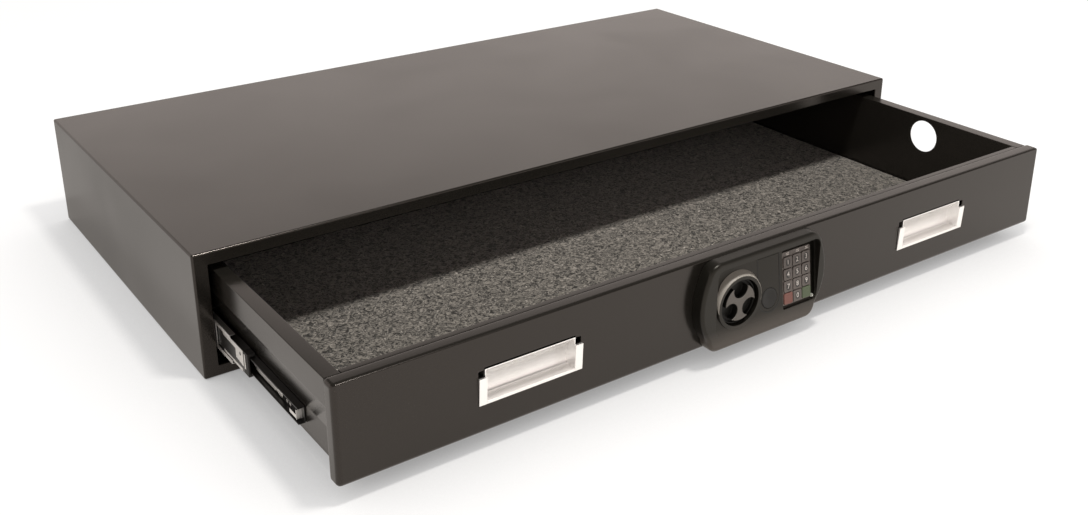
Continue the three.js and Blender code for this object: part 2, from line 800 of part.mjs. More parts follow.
// The boltwork's base plate, with a guide rib past each end of the bolt bar
function lockPlate() {
  const half = plateWidth / 2;
  const plate = block(-half, half, plateFront, plateBack, plateBottom, plateTop);
  const ribs = [-1, 1].map((side) => {
    const near = side * (barHalfWidth + seat);
    const far = near + side * sheet;
    return block(Math.min(near, far), Math.max(near, far), plateBack - cutMargin, barBack + cutMargin,
      pinRestHeight - barHeight / 2, pinRestHeight + barHeight / 2 + boltTravel);
  });
  const start = plateFront - cutMargin;
  const end = plateBack + cutMargin;
  return join([plate, ...ribs])
    .subtract(barAlongY(knobX, knobHeight, spindleBore / 2, start, end))
    .subtract(barAlongY(overrideX, overrideHeight, cylinderBore / 2, start, end));
}

function lockCover() {
  const half = plateWidth / 2 + coverMargin;
  const back = plateFront + coverDepth;
  let cover = block(-half, half, plateFront, back, coverBottom, coverTop)
    .subtract(block(-half + coverSheet, half - coverSheet, plateFront - cutMargin, back - coverSheet,
      coverBottom + coverSheet, coverTop - coverSheet));
  for (const x of [-boltSpacing / 2, boltSpacing / 2]) {
    cover = cover.subtract(barAlongZ(x, boltSetback, boltDiameter / 2 + 2 * boreClearance,
      coverTop - coverSheet - cutMargin, coverTop + cutMargin, 20));
  }
  return cover;
}

function lockSolenoid() {
  const back = plateFront + coverDepth - coverSheet - seat;
  const front = barBack + crankPinProud;
  const body = block(solenoidLeft, solenoidLeft + solenoidWidth, front, back,
    solenoidBottom, solenoidBottom + solenoidHeight);
  const nose = barAlongX((front + back) / 2, solenoidBottom + solenoidHeight / 2, solenoidNoseRadius,
    solenoidLeft - solenoidNose, solenoidLeft + seat, 12);
  return body.add(nose);
}

// Battery box: four cells lie across it, one above the other
const boxRight = boxLeft + cellLength + 2 * (boxWall + cellPlay);
const boxTop = boxBottom + cellCount * cellPitch + 2 * boxWall;
const boxBack = plateFront + boxWall + cellPitch + seat;

function batteryBox() {
  return block(boxLeft, boxRight, plateFront, boxBack, boxBottom, boxTop)
    .subtract(block(boxLeft + boxWall, boxRight - boxWall, plateFront + boxWall, boxBack + cutMargin,
      boxBottom + boxWall, boxTop - boxWall));
}

function batteryCell(n) {
  const y = plateFront + boxWall + seat + cellDiameter / 2;
  const z = boxBottom + boxWall + cellPitch * (n - 0.5);
  const x = boxLeft + boxWall + cellPlay;
  const shoulder = x + cellLength - cellButton;
  return barAlongX(y, z, cellDiameter / 2, x, shoulder, 16)
    .add(barAlongX(y, z, cellButtonRadius, shoulder - seat, x + cellLength, 10));
}

// The assembly
const overrideHeight = slopeStart + overrideUp * Math.cos(slope);
const cylinderBore = cylinderDiameter + 2 * boreClearance;
const boardBottom = slopeStart + padStart;
const boardTop = boardBottom + padHeight;

const safe = new THREE.Group();
piece(safe, 'cabinet_shell', cabinetShell(), powderCoat);
piece(safe, 'cabinet_back', cabinetBackPanel(), powderCoat);
piece(safe, 'lock_strike', lockStrike(), zincPlate);

const drawer = new THREE.Group();
drawer.position.y = drawerFace;
safe.add(drawer);

for (const [word, side] of sides) {
  piece(safe, `slide_bracket_${word}`, slideBracket(side), zincPlate);
  piece(safe, `slide_outer_${word}`, outerMember(side), slideBlack);
  piece(safe, `outer_cage_${word}`, outerCage(side), zincPlate);
  piece(safe, `slide_middle_${word}`, middleMember(side), slideBlack);
  piece(safe, `slide_bumper_${word}`, middleBumper(side), bumperRubber);
  piece(safe, `inner_cage_${word}`, innerCage(side), zincPlate);
  piece(drawer, `slide_inner_${word}`, innerMember(side), slideBlack);
  piece(drawer, `release_lever_${word}`, releaseLever(side), zincPlate);
  piece(drawer, `drawer_side_${word}`, drawerSide(side), powderCoat);
  const pull = piece(drawer, `pull_${word}`, cupPull(), satinChrome);
  pull.position.set(side * pullX, 0, pullCentreHeight);
}
piece(drawer, 'drawer_floor', drawerFloorPan(), powderCoat);
piece(drawer, 'drawer_front', drawerFront(), powderCoat);
piece(drawer, 'felt_liner', feltLiner(), feltGrey);

piece(drawer, 'lock_bezel', lockBezel(), blackPlastic);
const slopingFace = new THREE.Group();
slopingFace.position.set(0, bezelFace, slopeStart);
slopingFace.rotation.x = -slope;
drawer.add(slopingFace);
piece(slopingFace, 'keypad_plate', keypadPlate(), keypadGrey);
for (const key of keyPlaces()) {
  const cap = plateAlongY(keyShape(key.x, key.z, 0), -keyProud, padSeatDepth - keyTravel - keyRubber, 2);
  piece(slopingFace, key.name, solid(cap), key.material);
}
piece(slopingFace, 'override_panel', overridePanel(), blackPlastic);
piece(slopingFace, 'override_cap', solid(overrideCap()), bumperRubber);
const lensX = padLeft + padWidth + pocketRight / 2;
const lensUp = padStart - pocketBelow / 2 + lensDiameter / 2;
piece(slopingFace, 'status_lens',
  barAlongY(lensX, lensUp, lensDiameter / 2, padSunk, padSunk + padThickness, 12), lensClear);
piece(drawer, 'circuit_board',
  block(padLeft, padLeft + padWidth, seat, seat + boardThickness, boardBottom, boardTop), boardGreen);
const capBack = bezelFace + (overrideUp + capDiameter / 2) * Math.sin(slope) + panelThickness;
piece(drawer, 'key_cylinder',
  barAlongY(overrideX, overrideHeight, cylinderDiameter / 2, capBack + seat, barFront - 2 * seat), brass);

const turning = new THREE.Group();
turning.position.set(knobX, 0, knobHeight);
drawer.add(turning);
piece(turning, 'knob', lockKnob(), knobPlastic);
piece(turning, 'knob_spindle', knobSpindle(), brightSteel);
piece(turning, 'lock_cam', lockCam(), zincPlate);

piece(drawer, 'bolt_bar', boltBar(), zincPlate);
piece(drawer, 'bolt_left', lockBolt(-boltSpacing / 2), brightSteel);
piece(drawer, 'bolt_right', lockBolt(boltSpacing / 2), brightSteel);
piece(drawer, 'lock_plate', lockPlate(), zincPlate);
piece(drawer, 'lock_cover', lockCover(), powderCoat);
piece(drawer, 'solenoid', lockSolenoid(), slideBlack);

piece(drawer, 'battery_box', batteryBox(), blackPlastic);
piece(drawer, 'battery_lid',
  block(boxLeft, boxRight, boxBack + seat, boxBack + seat + lidThickness, boxBottom, boxTop), blackPlastic);
for (let n = 1; n <= cellCount; n += 1) {
  piece(drawer, `battery_${n}`, batteryCell(n), cellWrap);
}

export default safe;
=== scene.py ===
# %% [markdown]
# # An under desk drawer safe, dressed for its picture
# The safe is a flat steel cabinet with one wide drawer. Its pieces come from a CAD model, in metres, each
# in its true place. This script gives them their finishes, makes again the few pieces that need more than
# the CAD gives, and sets the light, the floor and the camera. Each step is explained before it is made.

import math

import bmesh
import bpy
from mathutils import Matrix, Vector, noise


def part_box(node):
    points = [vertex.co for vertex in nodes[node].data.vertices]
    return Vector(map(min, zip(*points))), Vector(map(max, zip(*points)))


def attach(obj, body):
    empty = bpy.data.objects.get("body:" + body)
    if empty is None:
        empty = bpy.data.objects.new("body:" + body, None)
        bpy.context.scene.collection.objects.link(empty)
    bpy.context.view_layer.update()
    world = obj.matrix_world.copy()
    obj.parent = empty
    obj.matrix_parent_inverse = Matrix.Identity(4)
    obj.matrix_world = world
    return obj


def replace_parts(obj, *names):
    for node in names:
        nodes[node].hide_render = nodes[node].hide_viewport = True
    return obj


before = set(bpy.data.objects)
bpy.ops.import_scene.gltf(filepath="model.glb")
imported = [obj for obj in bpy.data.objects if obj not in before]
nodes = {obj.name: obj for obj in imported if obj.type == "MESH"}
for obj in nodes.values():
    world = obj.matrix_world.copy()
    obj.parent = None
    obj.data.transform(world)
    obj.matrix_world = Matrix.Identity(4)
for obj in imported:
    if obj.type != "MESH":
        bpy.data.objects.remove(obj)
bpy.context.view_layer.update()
MM = 0.001

# %% [markdown]
# ## The camera
# The picture was taken from the front left, a little above the safe. A camera could be moved by eye until
# the view looks right, but small errors then show along every edge. This one was solved from the corners
# of the cabinet and the drawer: a place, a turn, a tilt and a focal length. A small lens shift brings the
# safe to its place in the frame without tilting the camera more, which keeps upright edges nearly upright.

# %% Camera
PICTURE_WIDTH = 1088
CAMERA_PLACE = Vector((-845.7, -1328.8, 657.2)) * MM
CAMERA_TURN = -35.19
CAMERA_DOWN = 21.37
FOCAL_PIXELS = 1217.2
SENSOR_WIDTH = 36.0
SHIFT_UP = -0.085

camera_data = bpy.data.cameras.new("camera")
camera_data.sensor_width = SENSOR_WIDTH
camera_data.lens = FOCAL_PIXELS / PICTURE_WIDTH * SENSOR_WIDTH
camera_data.shift_y = SHIFT_UP
camera = bpy.data.objects.new("camera", camera_data)
camera.location = CAMERA_PLACE
camera.rotation_euler = (math.radians(90 - CAMERA_DOWN), 0, math.radians(CAMERA_TURN))
bpy.context.scene.collection.objects.link(camera)
bpy.context.scene.camera = camera
print("camera:", round(camera_data.lens, 1), "mm lens")

# %% [markdown]
# ## Helpers for shaders
# A finish is a small network of nodes. It could be wired by hand in the shader editor, but in code the
# same few moves return all the time, so each gets a helper: make a node and set its inputs, start a
# material or a shared group, place a group, mix two colours or values, and stretch a value's range.

# %% Node helpers
def add_node(tree, kind, inputs=None, **settings):
    made = tree.nodes.new(kind)
    for name, value in settings.items():
        setattr(made, name, value)
    for name, value in (inputs or {}).items():
        if isinstance(value, bpy.types.NodeSocket):
            tree.links.new(value, made.inputs[name])
        else:
            made.inputs[name].default_value = value
    return made


def start_material(name, sockets):
    material = bpy.data.materials.new(name)
    material.use_nodes = True
    shader = material.node_tree.nodes["Principled BSDF"]
    for socket, value in sockets.items():
        shader.inputs[socket].default_value = value
    return material, material.node_tree, shader


def start_group(name, inputs, outputs):
    group = bpy.data.node_groups.new(name, "ShaderNodeTree")
    for label, value in inputs.items():
        kind = "NodeSocketFloat" if isinstance(value, float) else "NodeSocketVector"
        socket = group.interface.new_socket(label, in_out="INPUT", socket_type=kind)
        if value is not None:
            socket.default_value = value
    for label in outputs:
        group.interface.new_socket(label, in_out="OUTPUT", socket_type="NodeSocketFloat")
    return group, group.nodes.new("NodeGroupInput").outputs, group.nodes.new("NodeGroupOutput").inputs


def use_group(tree, group, inputs):
    return add_node(tree, "ShaderNodeGroup", inputs, node_tree=group).outputs


print("node helpers ready")

# %% [markdown]
# The Mix node keeps separate sockets for values and for colours, and the same name stands for both. They
# are told apart by number: 0 is the share, 2 and 3 are the two values, 6 and 7 the two colours.

# %% Mixing and scaling helpers
def mix_values(tree, share, first, second):
    return add_node(tree, "ShaderNodeMix", {0: share, 2: first, 3: second}).outputs[0]


def mix_colors(tree, share, first, second):
    inputs = {0: share, 6: first, 7: second}
    for index in (6, 7):
        if isinstance(inputs[index], tuple):
            inputs[index] = (*inputs[index], 1)
    return add_node(tree, "ShaderNodeMix", inputs, data_type="RGBA").outputs[2]


def rescale(tree, value, low, high, new_low, new_high):
    return add_node(tree, "ShaderNodeMapRange", {
        "Value": value, "From Min": low, "From Max": high,
        "To Min": new_low, "To Max": new_high}).outputs["Result"]


def calculate(tree, operation, first, second):
    return add_node(tree, "ShaderNodeMath", {0: first, 1: second}, operation=operation).outputs[0]


def object_place(tree):
    return add_node(tree, "ShaderNodeTexCoord").outputs["Object"]


def raise_surface(tree, shader, height, depth):
    bump = add_node(tree, "ShaderNodeBump", {"Height": height, "Distance": depth})
    tree.links.new(bump.outputs["Normal"], shader.inputs["Normal"])


print("mixing helpers ready")

# %% [markdown]
# ## Effects that several finishes share
# Paint, plastic and plated steel are never one flat colour. Four effects return in them, and each is a node
# group with named inputs, so that a finish sets its own size and strength. The first two are noises: a fine
# grain that breaks up the gloss and flecks the colour, and soft marks that vary the gloss over a wider area.

# %% Fine grain and soft marks
fine_grain, grain_in, grain_out = start_group(
    "fine_grain", {"Place": None, "Scale": 900.0}, ["Height", "Fleck"])
grain_noise = add_node(fine_grain, "ShaderNodeTexNoise", {
    "Vector": grain_in["Place"], "Scale": grain_in["Scale"], "Detail": 3.0, "Roughness": 0.6})
fine_grain.links.new(grain_noise.outputs["Fac"], grain_out["Height"])
fine_grain.links.new(rescale(fine_grain, grain_noise.outputs["Fac"], 0.35, 0.65, 0, 1), grain_out["Fleck"])

soft_marks, marks_in, marks_out = start_group("soft_marks", {"Place": None, "Scale": 6.0}, ["Mark"])
marks_noise = add_node(soft_marks, "ShaderNodeTexNoise", {
    "Vector": marks_in["Place"], "Scale": marks_in["Scale"], "Detail": 2.0, "Distortion": 0.6})
soft_marks.links.new(rescale(soft_marks, marks_noise.outputs["Fac"], 0.3, 0.7, 0, 1), marks_out["Mark"])
print("noises ready")

# %% [markdown]
# Handling rubs a finish lighter along its edges. That could be painted by hand on each piece, but the edges
# can also be found: the Bevel node gives the normal that a rounded edge would have, and where it turns away
# from the surface's own normal there is an edge. A patchy noise keeps the wear from being even along it.

# %% Rubbed edges
rubbed_edges, edge_in, edge_out = start_group("rubbed_edges", {"Place": None, "Radius": 0.0012}, ["Edge"])
rounded = add_node(rubbed_edges, "ShaderNodeBevel", {"Radius": edge_in["Radius"]}, samples=6)
surface = add_node(rubbed_edges, "ShaderNodeNewGeometry")
turned = add_node(rubbed_edges, "ShaderNodeVectorMath", {
    0: rounded.outputs["Normal"], 1: surface.outputs["Normal"]}, operation="DOT_PRODUCT")
edge_mask = rescale(rubbed_edges, turned.outputs["Value"], 0.97, 0.75, 0, 1)
edge_patches = add_node(rubbed_edges, "ShaderNodeTexNoise", {
    "Vector": edge_in["Place"], "Scale": 60.0, "Detail": 2.0})
rubbed_edges.links.new(
    calculate(rubbed_edges, "MULTIPLY", edge_mask, edge_patches.outputs["Fac"]), edge_out["Edge"])
print("rubbed edges ready")

# %% [markdown]
# Brushed metal has long fine lines. A wave texture would make them too regular. Here a fine noise is read
# from places that are squeezed along one axis, which draws its grains out into lines along that axis.

# %% Brushed lines
brushed_lines, brush_in, brush_out = start_group(
    "brushed_lines", {"Place": None, "Stretch": (0.02, 1.0, 1.0), "Scale": 1400.0}, ["Line"])
brush_place = add_node(brushed_lines, "ShaderNodeVectorMath", {
    0: brush_in["Place"], 1: brush_in["Stretch"]}, operation="MULTIPLY")
brush_noise = add_node(brushed_lines, "ShaderNodeTexNoise", {
    "Vector": brush_place.outputs["Vector"], "Scale": brush_in["Scale"], "Detail": 2.0})
brushed_lines.links.new(
    rescale(brushed_lines, brush_noise.outputs["Fac"], 0.3, 0.7, 0, 1), brush_out["Line"])
print("shared effects:", [group.name for group in bpy.data.node_groups])

# %% [markdown]
# ## Painted and moulded finishes
# The cabinet and the drawer are steel with a charcoal powder coat: a fine orange peel with a satin gloss.
# A grey base colour would look chalky from above. The real coat is nearly black and a little warm, and much
# of what the eye sees on the top is the pale room, mirrored at a low angle. The slide's black paint, the
# lock's plastics, the rubber and the inks are built the same way, so one function makes them all, each with
# its own colour, gloss and grain.

# %% Coated finishes
GRAIN_CONTRAST = 0.1
MARK_SCALE = 5.0
GLOSSIER, DULLER = 0.03, 0.04
finishes = {}


def coated(slot, color, rubbed, roughness, grain_size, grain_depth, edge_size=1.2, **extra):
    sockets = {"Roughness": roughness, "IOR": 1.5}
    sockets.update({name.replace("_", " "): value for name, value in extra.items()})
    material, tree, shader = start_material(slot, sockets)
    place = object_place(tree)
    grain = use_group(tree, fine_grain, {"Place": place, "Scale": 1 / (grain_size * MM)})
    mark = use_group(tree, soft_marks, {"Place": place, "Scale": MARK_SCALE})["Mark"]
    edge = use_group(tree, rubbed_edges, {"Place": place, "Radius": edge_size * MM})["Edge"]
    darker = tuple((1 - GRAIN_CONTRAST) * part for part in color)
    lighter = tuple((1 + GRAIN_CONTRAST) * part for part in color)
    flecked = mix_colors(tree, grain["Fleck"], darker, lighter)
    tree.links.new(mix_colors(tree, edge, flecked, rubbed), shader.inputs["Base Color"])
    gloss = rescale(tree, mark, 0, 1, roughness - GLOSSIER, roughness + DULLER)
    tree.links.new(gloss, shader.inputs["Roughness"])
    raise_surface(tree, shader, grain["Height"], grain_depth * MM)
    finishes[slot] = material


print("coats: grain contrast", GRAIN_CONTRAST)

# %% [markdown]
# Each line gives a finish its colour, the colour of its rubbed edges, its roughness, and the width and
# depth of its grain and the reach of its wear in millimetres. The index of refraction and the tint set how
# strongly, and how warm, the coat mirrors the room.

# %% Paints, plastics, rubber and inks
coated("powder_coat", (0.0135, 0.0125, 0.0105), (0.03, 0.028, 0.025), 0.21, 1.3, 0.01,
       IOR=1.45, Specular_Tint=(1.0, 0.9, 0.84, 1))
coated("slide_black", (0.008, 0.008, 0.0075), (0.03, 0.03, 0.028), 0.3, 0.8, 0.006, 0.5)
coated("black_plastic", (0.008, 0.0076, 0.006), (0.03, 0.028, 0.024), 0.36, 0.6, 0.008, 0.8,
       IOR=1.37, Specular_Tint=(1.0, 0.95, 0.86, 1))
coated("knob_plastic", (0.008, 0.008, 0.007), (0.03, 0.029, 0.026), 0.42, 0.6, 0.008, 0.8, IOR=1.28)
# The collar's pale grey is a painted highlight: the light that falls on the top of its cone from overhead.
coated("collar_painted_highlight", (0.36, 0.342, 0.306), (0.36, 0.342, 0.306), 0.5, 0.6, 0.01, 0.8)
coated("keypad_grey", (0.115, 0.1, 0.092), (0.3, 0.275, 0.25), 0.45, 0.5, 0.01, 1.6)
coated("key_red", (0.2, 0.082, 0.066), (0.32, 0.19, 0.16), 0.5, 0.5, 0.01, 1.6)
coated("key_green", (0.085, 0.115, 0.062), (0.2, 0.23, 0.15), 0.5, 0.5, 0.01, 1.6)
coated("rubber_black", (0.016, 0.016, 0.015), (0.03, 0.03, 0.028), 0.7, 0.5, 0.012, 0.8)
coated("board_green", (0.012, 0.06, 0.025), (0.1, 0.12, 0.06), 0.4, 1.5, 0.01, 0.4)
coated("cell_wrap", (0.12, 0.13, 0.14), (0.2, 0.21, 0.22), 0.3, 4, 0.004, 0.5)
coated("digit_ink", (0.8, 0.77, 0.73), (0.85, 0.83, 0.8), 0.5, 0.3, 0.004, 0.2)
coated("oval_ink", (0.03, 0.027, 0.025), (0.05, 0.046, 0.042), 0.5, 0.3, 0.004, 0.2)
print("coated finishes:", list(finishes))

# %% [markdown]
# Two of these change along the piece. The knob is black, but the very front face of its grip is a lighter
# satin grey. The lock's housing is lighter on the band below its sloping face. Two materials on one piece
# would need its faces to be sorted. Both changes follow from a height or a depth on the piece, so a mask
# made of that place mixes in the second colour and gloss.

# %% Second colours by place
GRIP_FACE = -531.3
BAND_TOP, BAND_FULL = 44, 25


def second_color(slot, axis, start, end, color, roughness):
    tree = finishes[slot].node_tree
    shader = tree.nodes["Principled BSDF"]
    place = add_node(tree, "ShaderNodeSeparateXYZ", {"Vector": object_place(tree)}).outputs[axis]
    mask = rescale(tree, place, start * MM, end * MM, 0, 1)
    first_color = shader.inputs["Base Color"].links[0].from_socket
    first_gloss = shader.inputs["Roughness"].links[0].from_socket
    tree.links.new(mix_colors(tree, mask, first_color, color), shader.inputs["Base Color"])
    tree.links.new(mix_values(tree, mask, first_gloss, roughness), shader.inputs["Roughness"])


second_color("knob_plastic", "Y", GRIP_FACE + 1.0, GRIP_FACE + 0.4, (0.16, 0.152, 0.14), 0.4)
second_color("black_plastic", "Z", BAND_TOP, BAND_FULL, (0.085, 0.076, 0.068), 0.33)
print("grip face and lock band coloured")

# %% [markdown]
# ## Metals
# The pulls are satin chrome, brushed along their length. The slide's clips, brackets and lockwork are zinc
# plated, which shows a cloudy skin between blue and yellow. All metals share one function. Lines drawn in
# the colour would look like dirt on a metal, so here they vary the gloss and the surface instead, along a
# chosen axis, and only the clouds touch the colour.

# %% Metal finishes
CLOUD_SCALE = 70.0
LINE_GLOSSIER, LINE_DULLER = 0.05, 0.07
ALONG_X = (0.02, 1.0, 1.0)
ALONG_Z = (1.0, 1.0, 0.02)
EVEN = (1.0, 1.0, 1.0)


def metal(slot, first, second, roughness, stretch, line_depth, line_scale):
    material, tree, shader = start_material(slot, {"Metallic": 1.0, "Roughness": roughness})
    place = object_place(tree)
    line = use_group(tree, brushed_lines, {
        "Place": place, "Stretch": stretch, "Scale": line_scale})["Line"]
    cloud = use_group(tree, soft_marks, {"Place": place, "Scale": CLOUD_SCALE})["Mark"]
    tree.links.new(mix_colors(tree, cloud, first, second), shader.inputs["Base Color"])
    gloss = rescale(tree, line, 0, 1, roughness - LINE_GLOSSIER, roughness + LINE_DULLER)
    tree.links.new(gloss, shader.inputs["Roughness"])
    raise_surface(tree, shader, line, line_depth * MM)
    finishes[slot] = material


METALS = (
    ("satin_chrome", (0.95, 0.945, 0.935), (0.92, 0.915, 0.905), 0.4, ALONG_X, 0.0003, 1400.0),
    ("zinc_plate", (0.78, 0.77, 0.74), (0.66, 0.655, 0.645), 0.42, EVEN, 0.003, 500.0),
    ("bright_steel", (0.6, 0.6, 0.59), (0.52, 0.52, 0.51), 0.26, ALONG_Z, 0.002, 1400.0),
    ("brass", (0.7, 0.52, 0.24), (0.6, 0.43, 0.18), 0.3, EVEN, 0.003, 1400.0),
)
for kind in METALS:
    metal(*kind)
print("metals:", [kind[0] for kind in METALS])

# %% [markdown]
# The little lens beside the keys is frosted clear plastic over a lamp that is off. Full transmission would
# show the dark pocket behind it and turn it black, so part of it stays a pale solid colour.

# %% Lens
lens, lens_tree, lens_shader = start_material("lens_clear", {
    "Transmission Weight": 0.6, "Roughness": 0.25, "IOR": 1.49})
lens_mark = use_group(lens_tree, soft_marks, {"Place": object_place(lens_tree), "Scale": 900.0})["Mark"]
lens_color = mix_colors(lens_tree, lens_mark, (0.7, 0.72, 0.66), (0.8, 0.82, 0.76))
lens_tree.links.new(lens_color, lens_shader.inputs["Base Color"])
finishes["lens_clear"] = lens
print("lens ready")

# %% [markdown]
# ## Felt
# The drawer is lined with a grey needled felt. Its short fibres lie in small curled clumps that show as
# light and dark flecks a few millimetres across. Real hair would cost millions of strands for a surface
# seen from afar. Instead a ridged noise gives the curled fibres, a softer noise groups them in clumps, and
# the clumps raise the surface a little. Sheen adds the pale bloom of fibres that catch a low light.

# %% Felt finish
FELT_DEEP, FELT_PALE = (0.028, 0.0265, 0.0235), (0.275, 0.254, 0.223)
FIBRE_TIPS = (1.0, 0.92, 0.84)
CLUMP_RISE = 0.6 * MM

felt, felt_tree, felt_shader = start_material("felt_grey", {
    "Roughness": 0.95, "Sheen Weight": 0.25, "Sheen Roughness": 0.5, "Specular IOR Level": 0.2})
felt_place = object_place(felt_tree)
fibres = add_node(felt_tree, "ShaderNodeTexNoise", {
    "Vector": felt_place, "Scale": 260.0, "Detail": 3.0, "Roughness": 0.6, "Distortion": 1.2},
    noise_type="RIDGED_MULTIFRACTAL")
clumps = add_node(felt_tree, "ShaderNodeTexNoise", {
    "Vector": felt_place, "Scale": 190.0, "Detail": 3.0, "Roughness": 0.65, "Distortion": 1.5})
fibre_mask = rescale(felt_tree, fibres.outputs["Fac"], 0.1, 1.1, 0, 1)
clump_mask = rescale(felt_tree, clumps.outputs["Fac"], 0.4, 0.6, 0, 1)
felt_base = mix_colors(felt_tree, clump_mask, FELT_DEEP, FELT_PALE)
tip_mask = calculate(felt_tree, "MULTIPLY", fibre_mask, clump_mask)
felt_color = mix_colors(felt_tree, tip_mask, felt_base, FIBRE_TIPS)
felt_tree.links.new(felt_color, felt_shader.inputs["Base Color"])
raise_surface(felt_tree, felt_shader, clump_mask, CLUMP_RISE)
finishes["felt_grey"] = felt
print("felt finish ready")

# %% [markdown]
# ## Rounded edges for the carried over pieces
# The CAD pieces have the right shapes but perfectly sharp edges. A real edge is folded, cast or sanded
# round, and it catches a thin line of light. Editing each mesh would lose the tie to the CAD, so a stack of
# modifiers rounds it instead: the faces are welded, flat areas merged, edges bevelled, and the shading
# smoothed everywhere but at the sharp corners that are left. Two small geometry node groups do the first
# and the last of these steps.

# %% Weld and smooth groups
WELD_DISTANCE = 0.01 * MM
SMOOTH_BELOW = math.radians(32)


def modifier_group(name, build):
    group = bpy.data.node_groups.new(name, "GeometryNodeTree")
    group.is_modifier = True
    group.interface.new_socket("Geometry", in_out="INPUT", socket_type="NodeSocketGeometry")
    group.interface.new_socket("Geometry", in_out="OUTPUT", socket_type="NodeSocketGeometry")
    start = group.nodes.new("NodeGroupInput").outputs["Geometry"]
    end = group.nodes.new("NodeGroupOutput").inputs["Geometry"]
    group.links.new(build(group, start), end)
    return group


def weld_pieces(group, geometry):
    plain = add_node(group, "GeometryNodeRemoveAttribute", {"Geometry": geometry, "Name": "custom_normal"})
    return add_node(group, "GeometryNodeMergeByDistance", {
        "Geometry": plain.outputs["Geometry"], "Distance": WELD_DISTANCE}).outputs["Geometry"]


def smooth_pieces(group, geometry):
    angle = add_node(group, "GeometryNodeInputMeshEdgeAngle").outputs["Unsigned Angle"]
    soft = add_node(group, "FunctionNodeCompare", {0: angle, 1: SMOOTH_BELOW}, operation="LESS_THAN")
    edges = add_node(group, "GeometryNodeSetShadeSmooth", {
        "Geometry": geometry, "Shade Smooth": soft.outputs["Result"]}, domain="EDGE")
    return add_node(group, "GeometryNodeSetShadeSmooth", {
        "Geometry": edges.outputs["Geometry"], "Shade Smooth": True}, domain="FACE").outputs["Geometry"]


weld_group = modifier_group("weld_pieces", weld_pieces)
smooth_group = modifier_group("smooth_pieces", smooth_pieces)
print("weld and smooth groups ready")

# %% [markdown]
# Folded sheet has a wide bend at its outer edges and only broken corners elsewhere, so the cabinet, the
# drawer's front and the lock's cover need two widths. Their outer edges are the ones that lie on an edge of
# the piece's bounding box. The group below finds them: on such an edge, both ends touch the same side of
# the box on two of the three axes. It gives these edges a bevel weight, which a bevel modifier can read.

# %% Outer edge group
TOUCHING = 0.05 * MM


def mark_box_edges(group, geometry):
    box = add_node(group, "GeometryNodeBoundBox", {"Geometry": geometry}).outputs
    ends = add_node(group, "GeometryNodeInputMeshEdgeVertices").outputs

    def vector_math(operation, first, second=None):
        inputs = {0: first} if second is None else {0: first, 1: second}
        return add_node(group, "ShaderNodeVectorMath", inputs, operation=operation).outputs[0]

    def farther_end(corner):
        gaps = [vector_math("ABSOLUTE", vector_math("SUBTRACT", ends[end], corner))
                for end in ("Position 1", "Position 2")]
        return vector_math("MAXIMUM", *gaps)

    nearest = vector_math("MINIMUM", farther_end(box["Min"]), farther_end(box["Max"]))
    axes = add_node(group, "ShaderNodeSeparateXYZ", {0: nearest}).outputs
    touches = [calculate(group, "LESS_THAN", axes[axis], TOUCHING) for axis in ("X", "Y", "Z")]
    total = calculate(group, "ADD", calculate(group, "ADD", touches[0], touches[1]), touches[2])
    weight = calculate(group, "GREATER_THAN", total, 1.5)
    stored = {"Geometry": geometry, "Name": "bevel_weight_edge", "Value": weight}
    return add_node(group, "GeometryNodeStoreNamedAttribute", stored, domain="EDGE").outputs["Geometry"]


box_edge_group = modifier_group("mark_box_edges", mark_box_edges)
print("outer edge group ready")

# %% [markdown]
# The stack itself is the same for every piece but for its widths. The keypad's plate keeps sharp edges,
# because its narrow bars between the keys leave no room for a bevel. The knob isn't merged: its grip's
# flat face with round bites in it bevels more cleanly from its own small triangles.

# %% Modifier stack
FLAT_ANGLE = 0.6
FOLD_SEGMENTS = 5
UNMERGED = ("knob",)


def add_modifier(piece, name, kind, **settings):
    modifier = piece.modifiers.new(name, kind)
    for setting, value in settings.items():
        setattr(modifier, setting, value)


def soften(piece, width, segments, folded, angle):
    add_modifier(piece, "weld", "NODES", node_group=weld_group)
    if width and piece.name not in UNMERGED:
        add_modifier(piece, "merge_flat", "DECIMATE", decimate_type="DISSOLVE",
                     angle_limit=math.radians(FLAT_ANGLE))
    if folded:
        add_modifier(piece, "mark_box_edges", "NODES", node_group=box_edge_group)
        add_modifier(piece, "folded_edges", "BEVEL", width=folded * MM, segments=FOLD_SEGMENTS,
                     limit_method="WEIGHT", use_clamp_overlap=False)
    if width:
        add_modifier(piece, "bevel", "BEVEL", width=width * MM, segments=segments, limit_method="ANGLE",
                     angle_limit=math.radians(angle), use_clamp_overlap=False, miter_outer="MITER_ARC")
    add_modifier(piece, "smooth", "NODES", node_group=smooth_group)
    if width:
        add_modifier(piece, "even_normals", "WEIGHTED_NORMAL", keep_sharp=True)


print("stack ready, left unmerged:", UNMERGED)

# %% [markdown]
# The widths are in millimetres and go by the start of a piece's name, the longest fitting start first. The
# drawer's sides flare out gently above the slide, and that bend is rounded too, so their edges count from
# a smaller angle.

# %% Bevel the carried over pieces
EDGE_WIDTHS = {
    "cabinet_shell": 0.9, "cabinet_back": 0.8, "lock_strike": 0.6, "slide_bracket": 0.6,
    "slide_outer": 0.4, "slide_middle": 0.4, "slide_inner": 0.4, "slide_bumper": 0.5,
    "outer_cage": 0.3, "inner_cage": 0.15, "drawer_side": 0.8, "drawer_floor": 0.8,
    "drawer_front": 0.9, "felt_liner": 0.8, "release_lever": 0.3, "pull": 0.4,
    "lock_bezel": 0.2, "keypad_plate": 0, "key_": 0.5, "override_panel": 0.35,
    "override_cap": 0.25, "status_lens": 0.8, "circuit_board": 0.2, "key_cylinder": 0.5,
    "knob": 0.45, "lock_cam": 0.4, "bolt_bar": 0.5, "bolt_": 1.0, "lock_plate": 0.4,
    "lock_cover": 0.6, "solenoid": 0.8, "battery_box": 0.5, "battery_lid": 0.5, "battery_": 0.8,
}
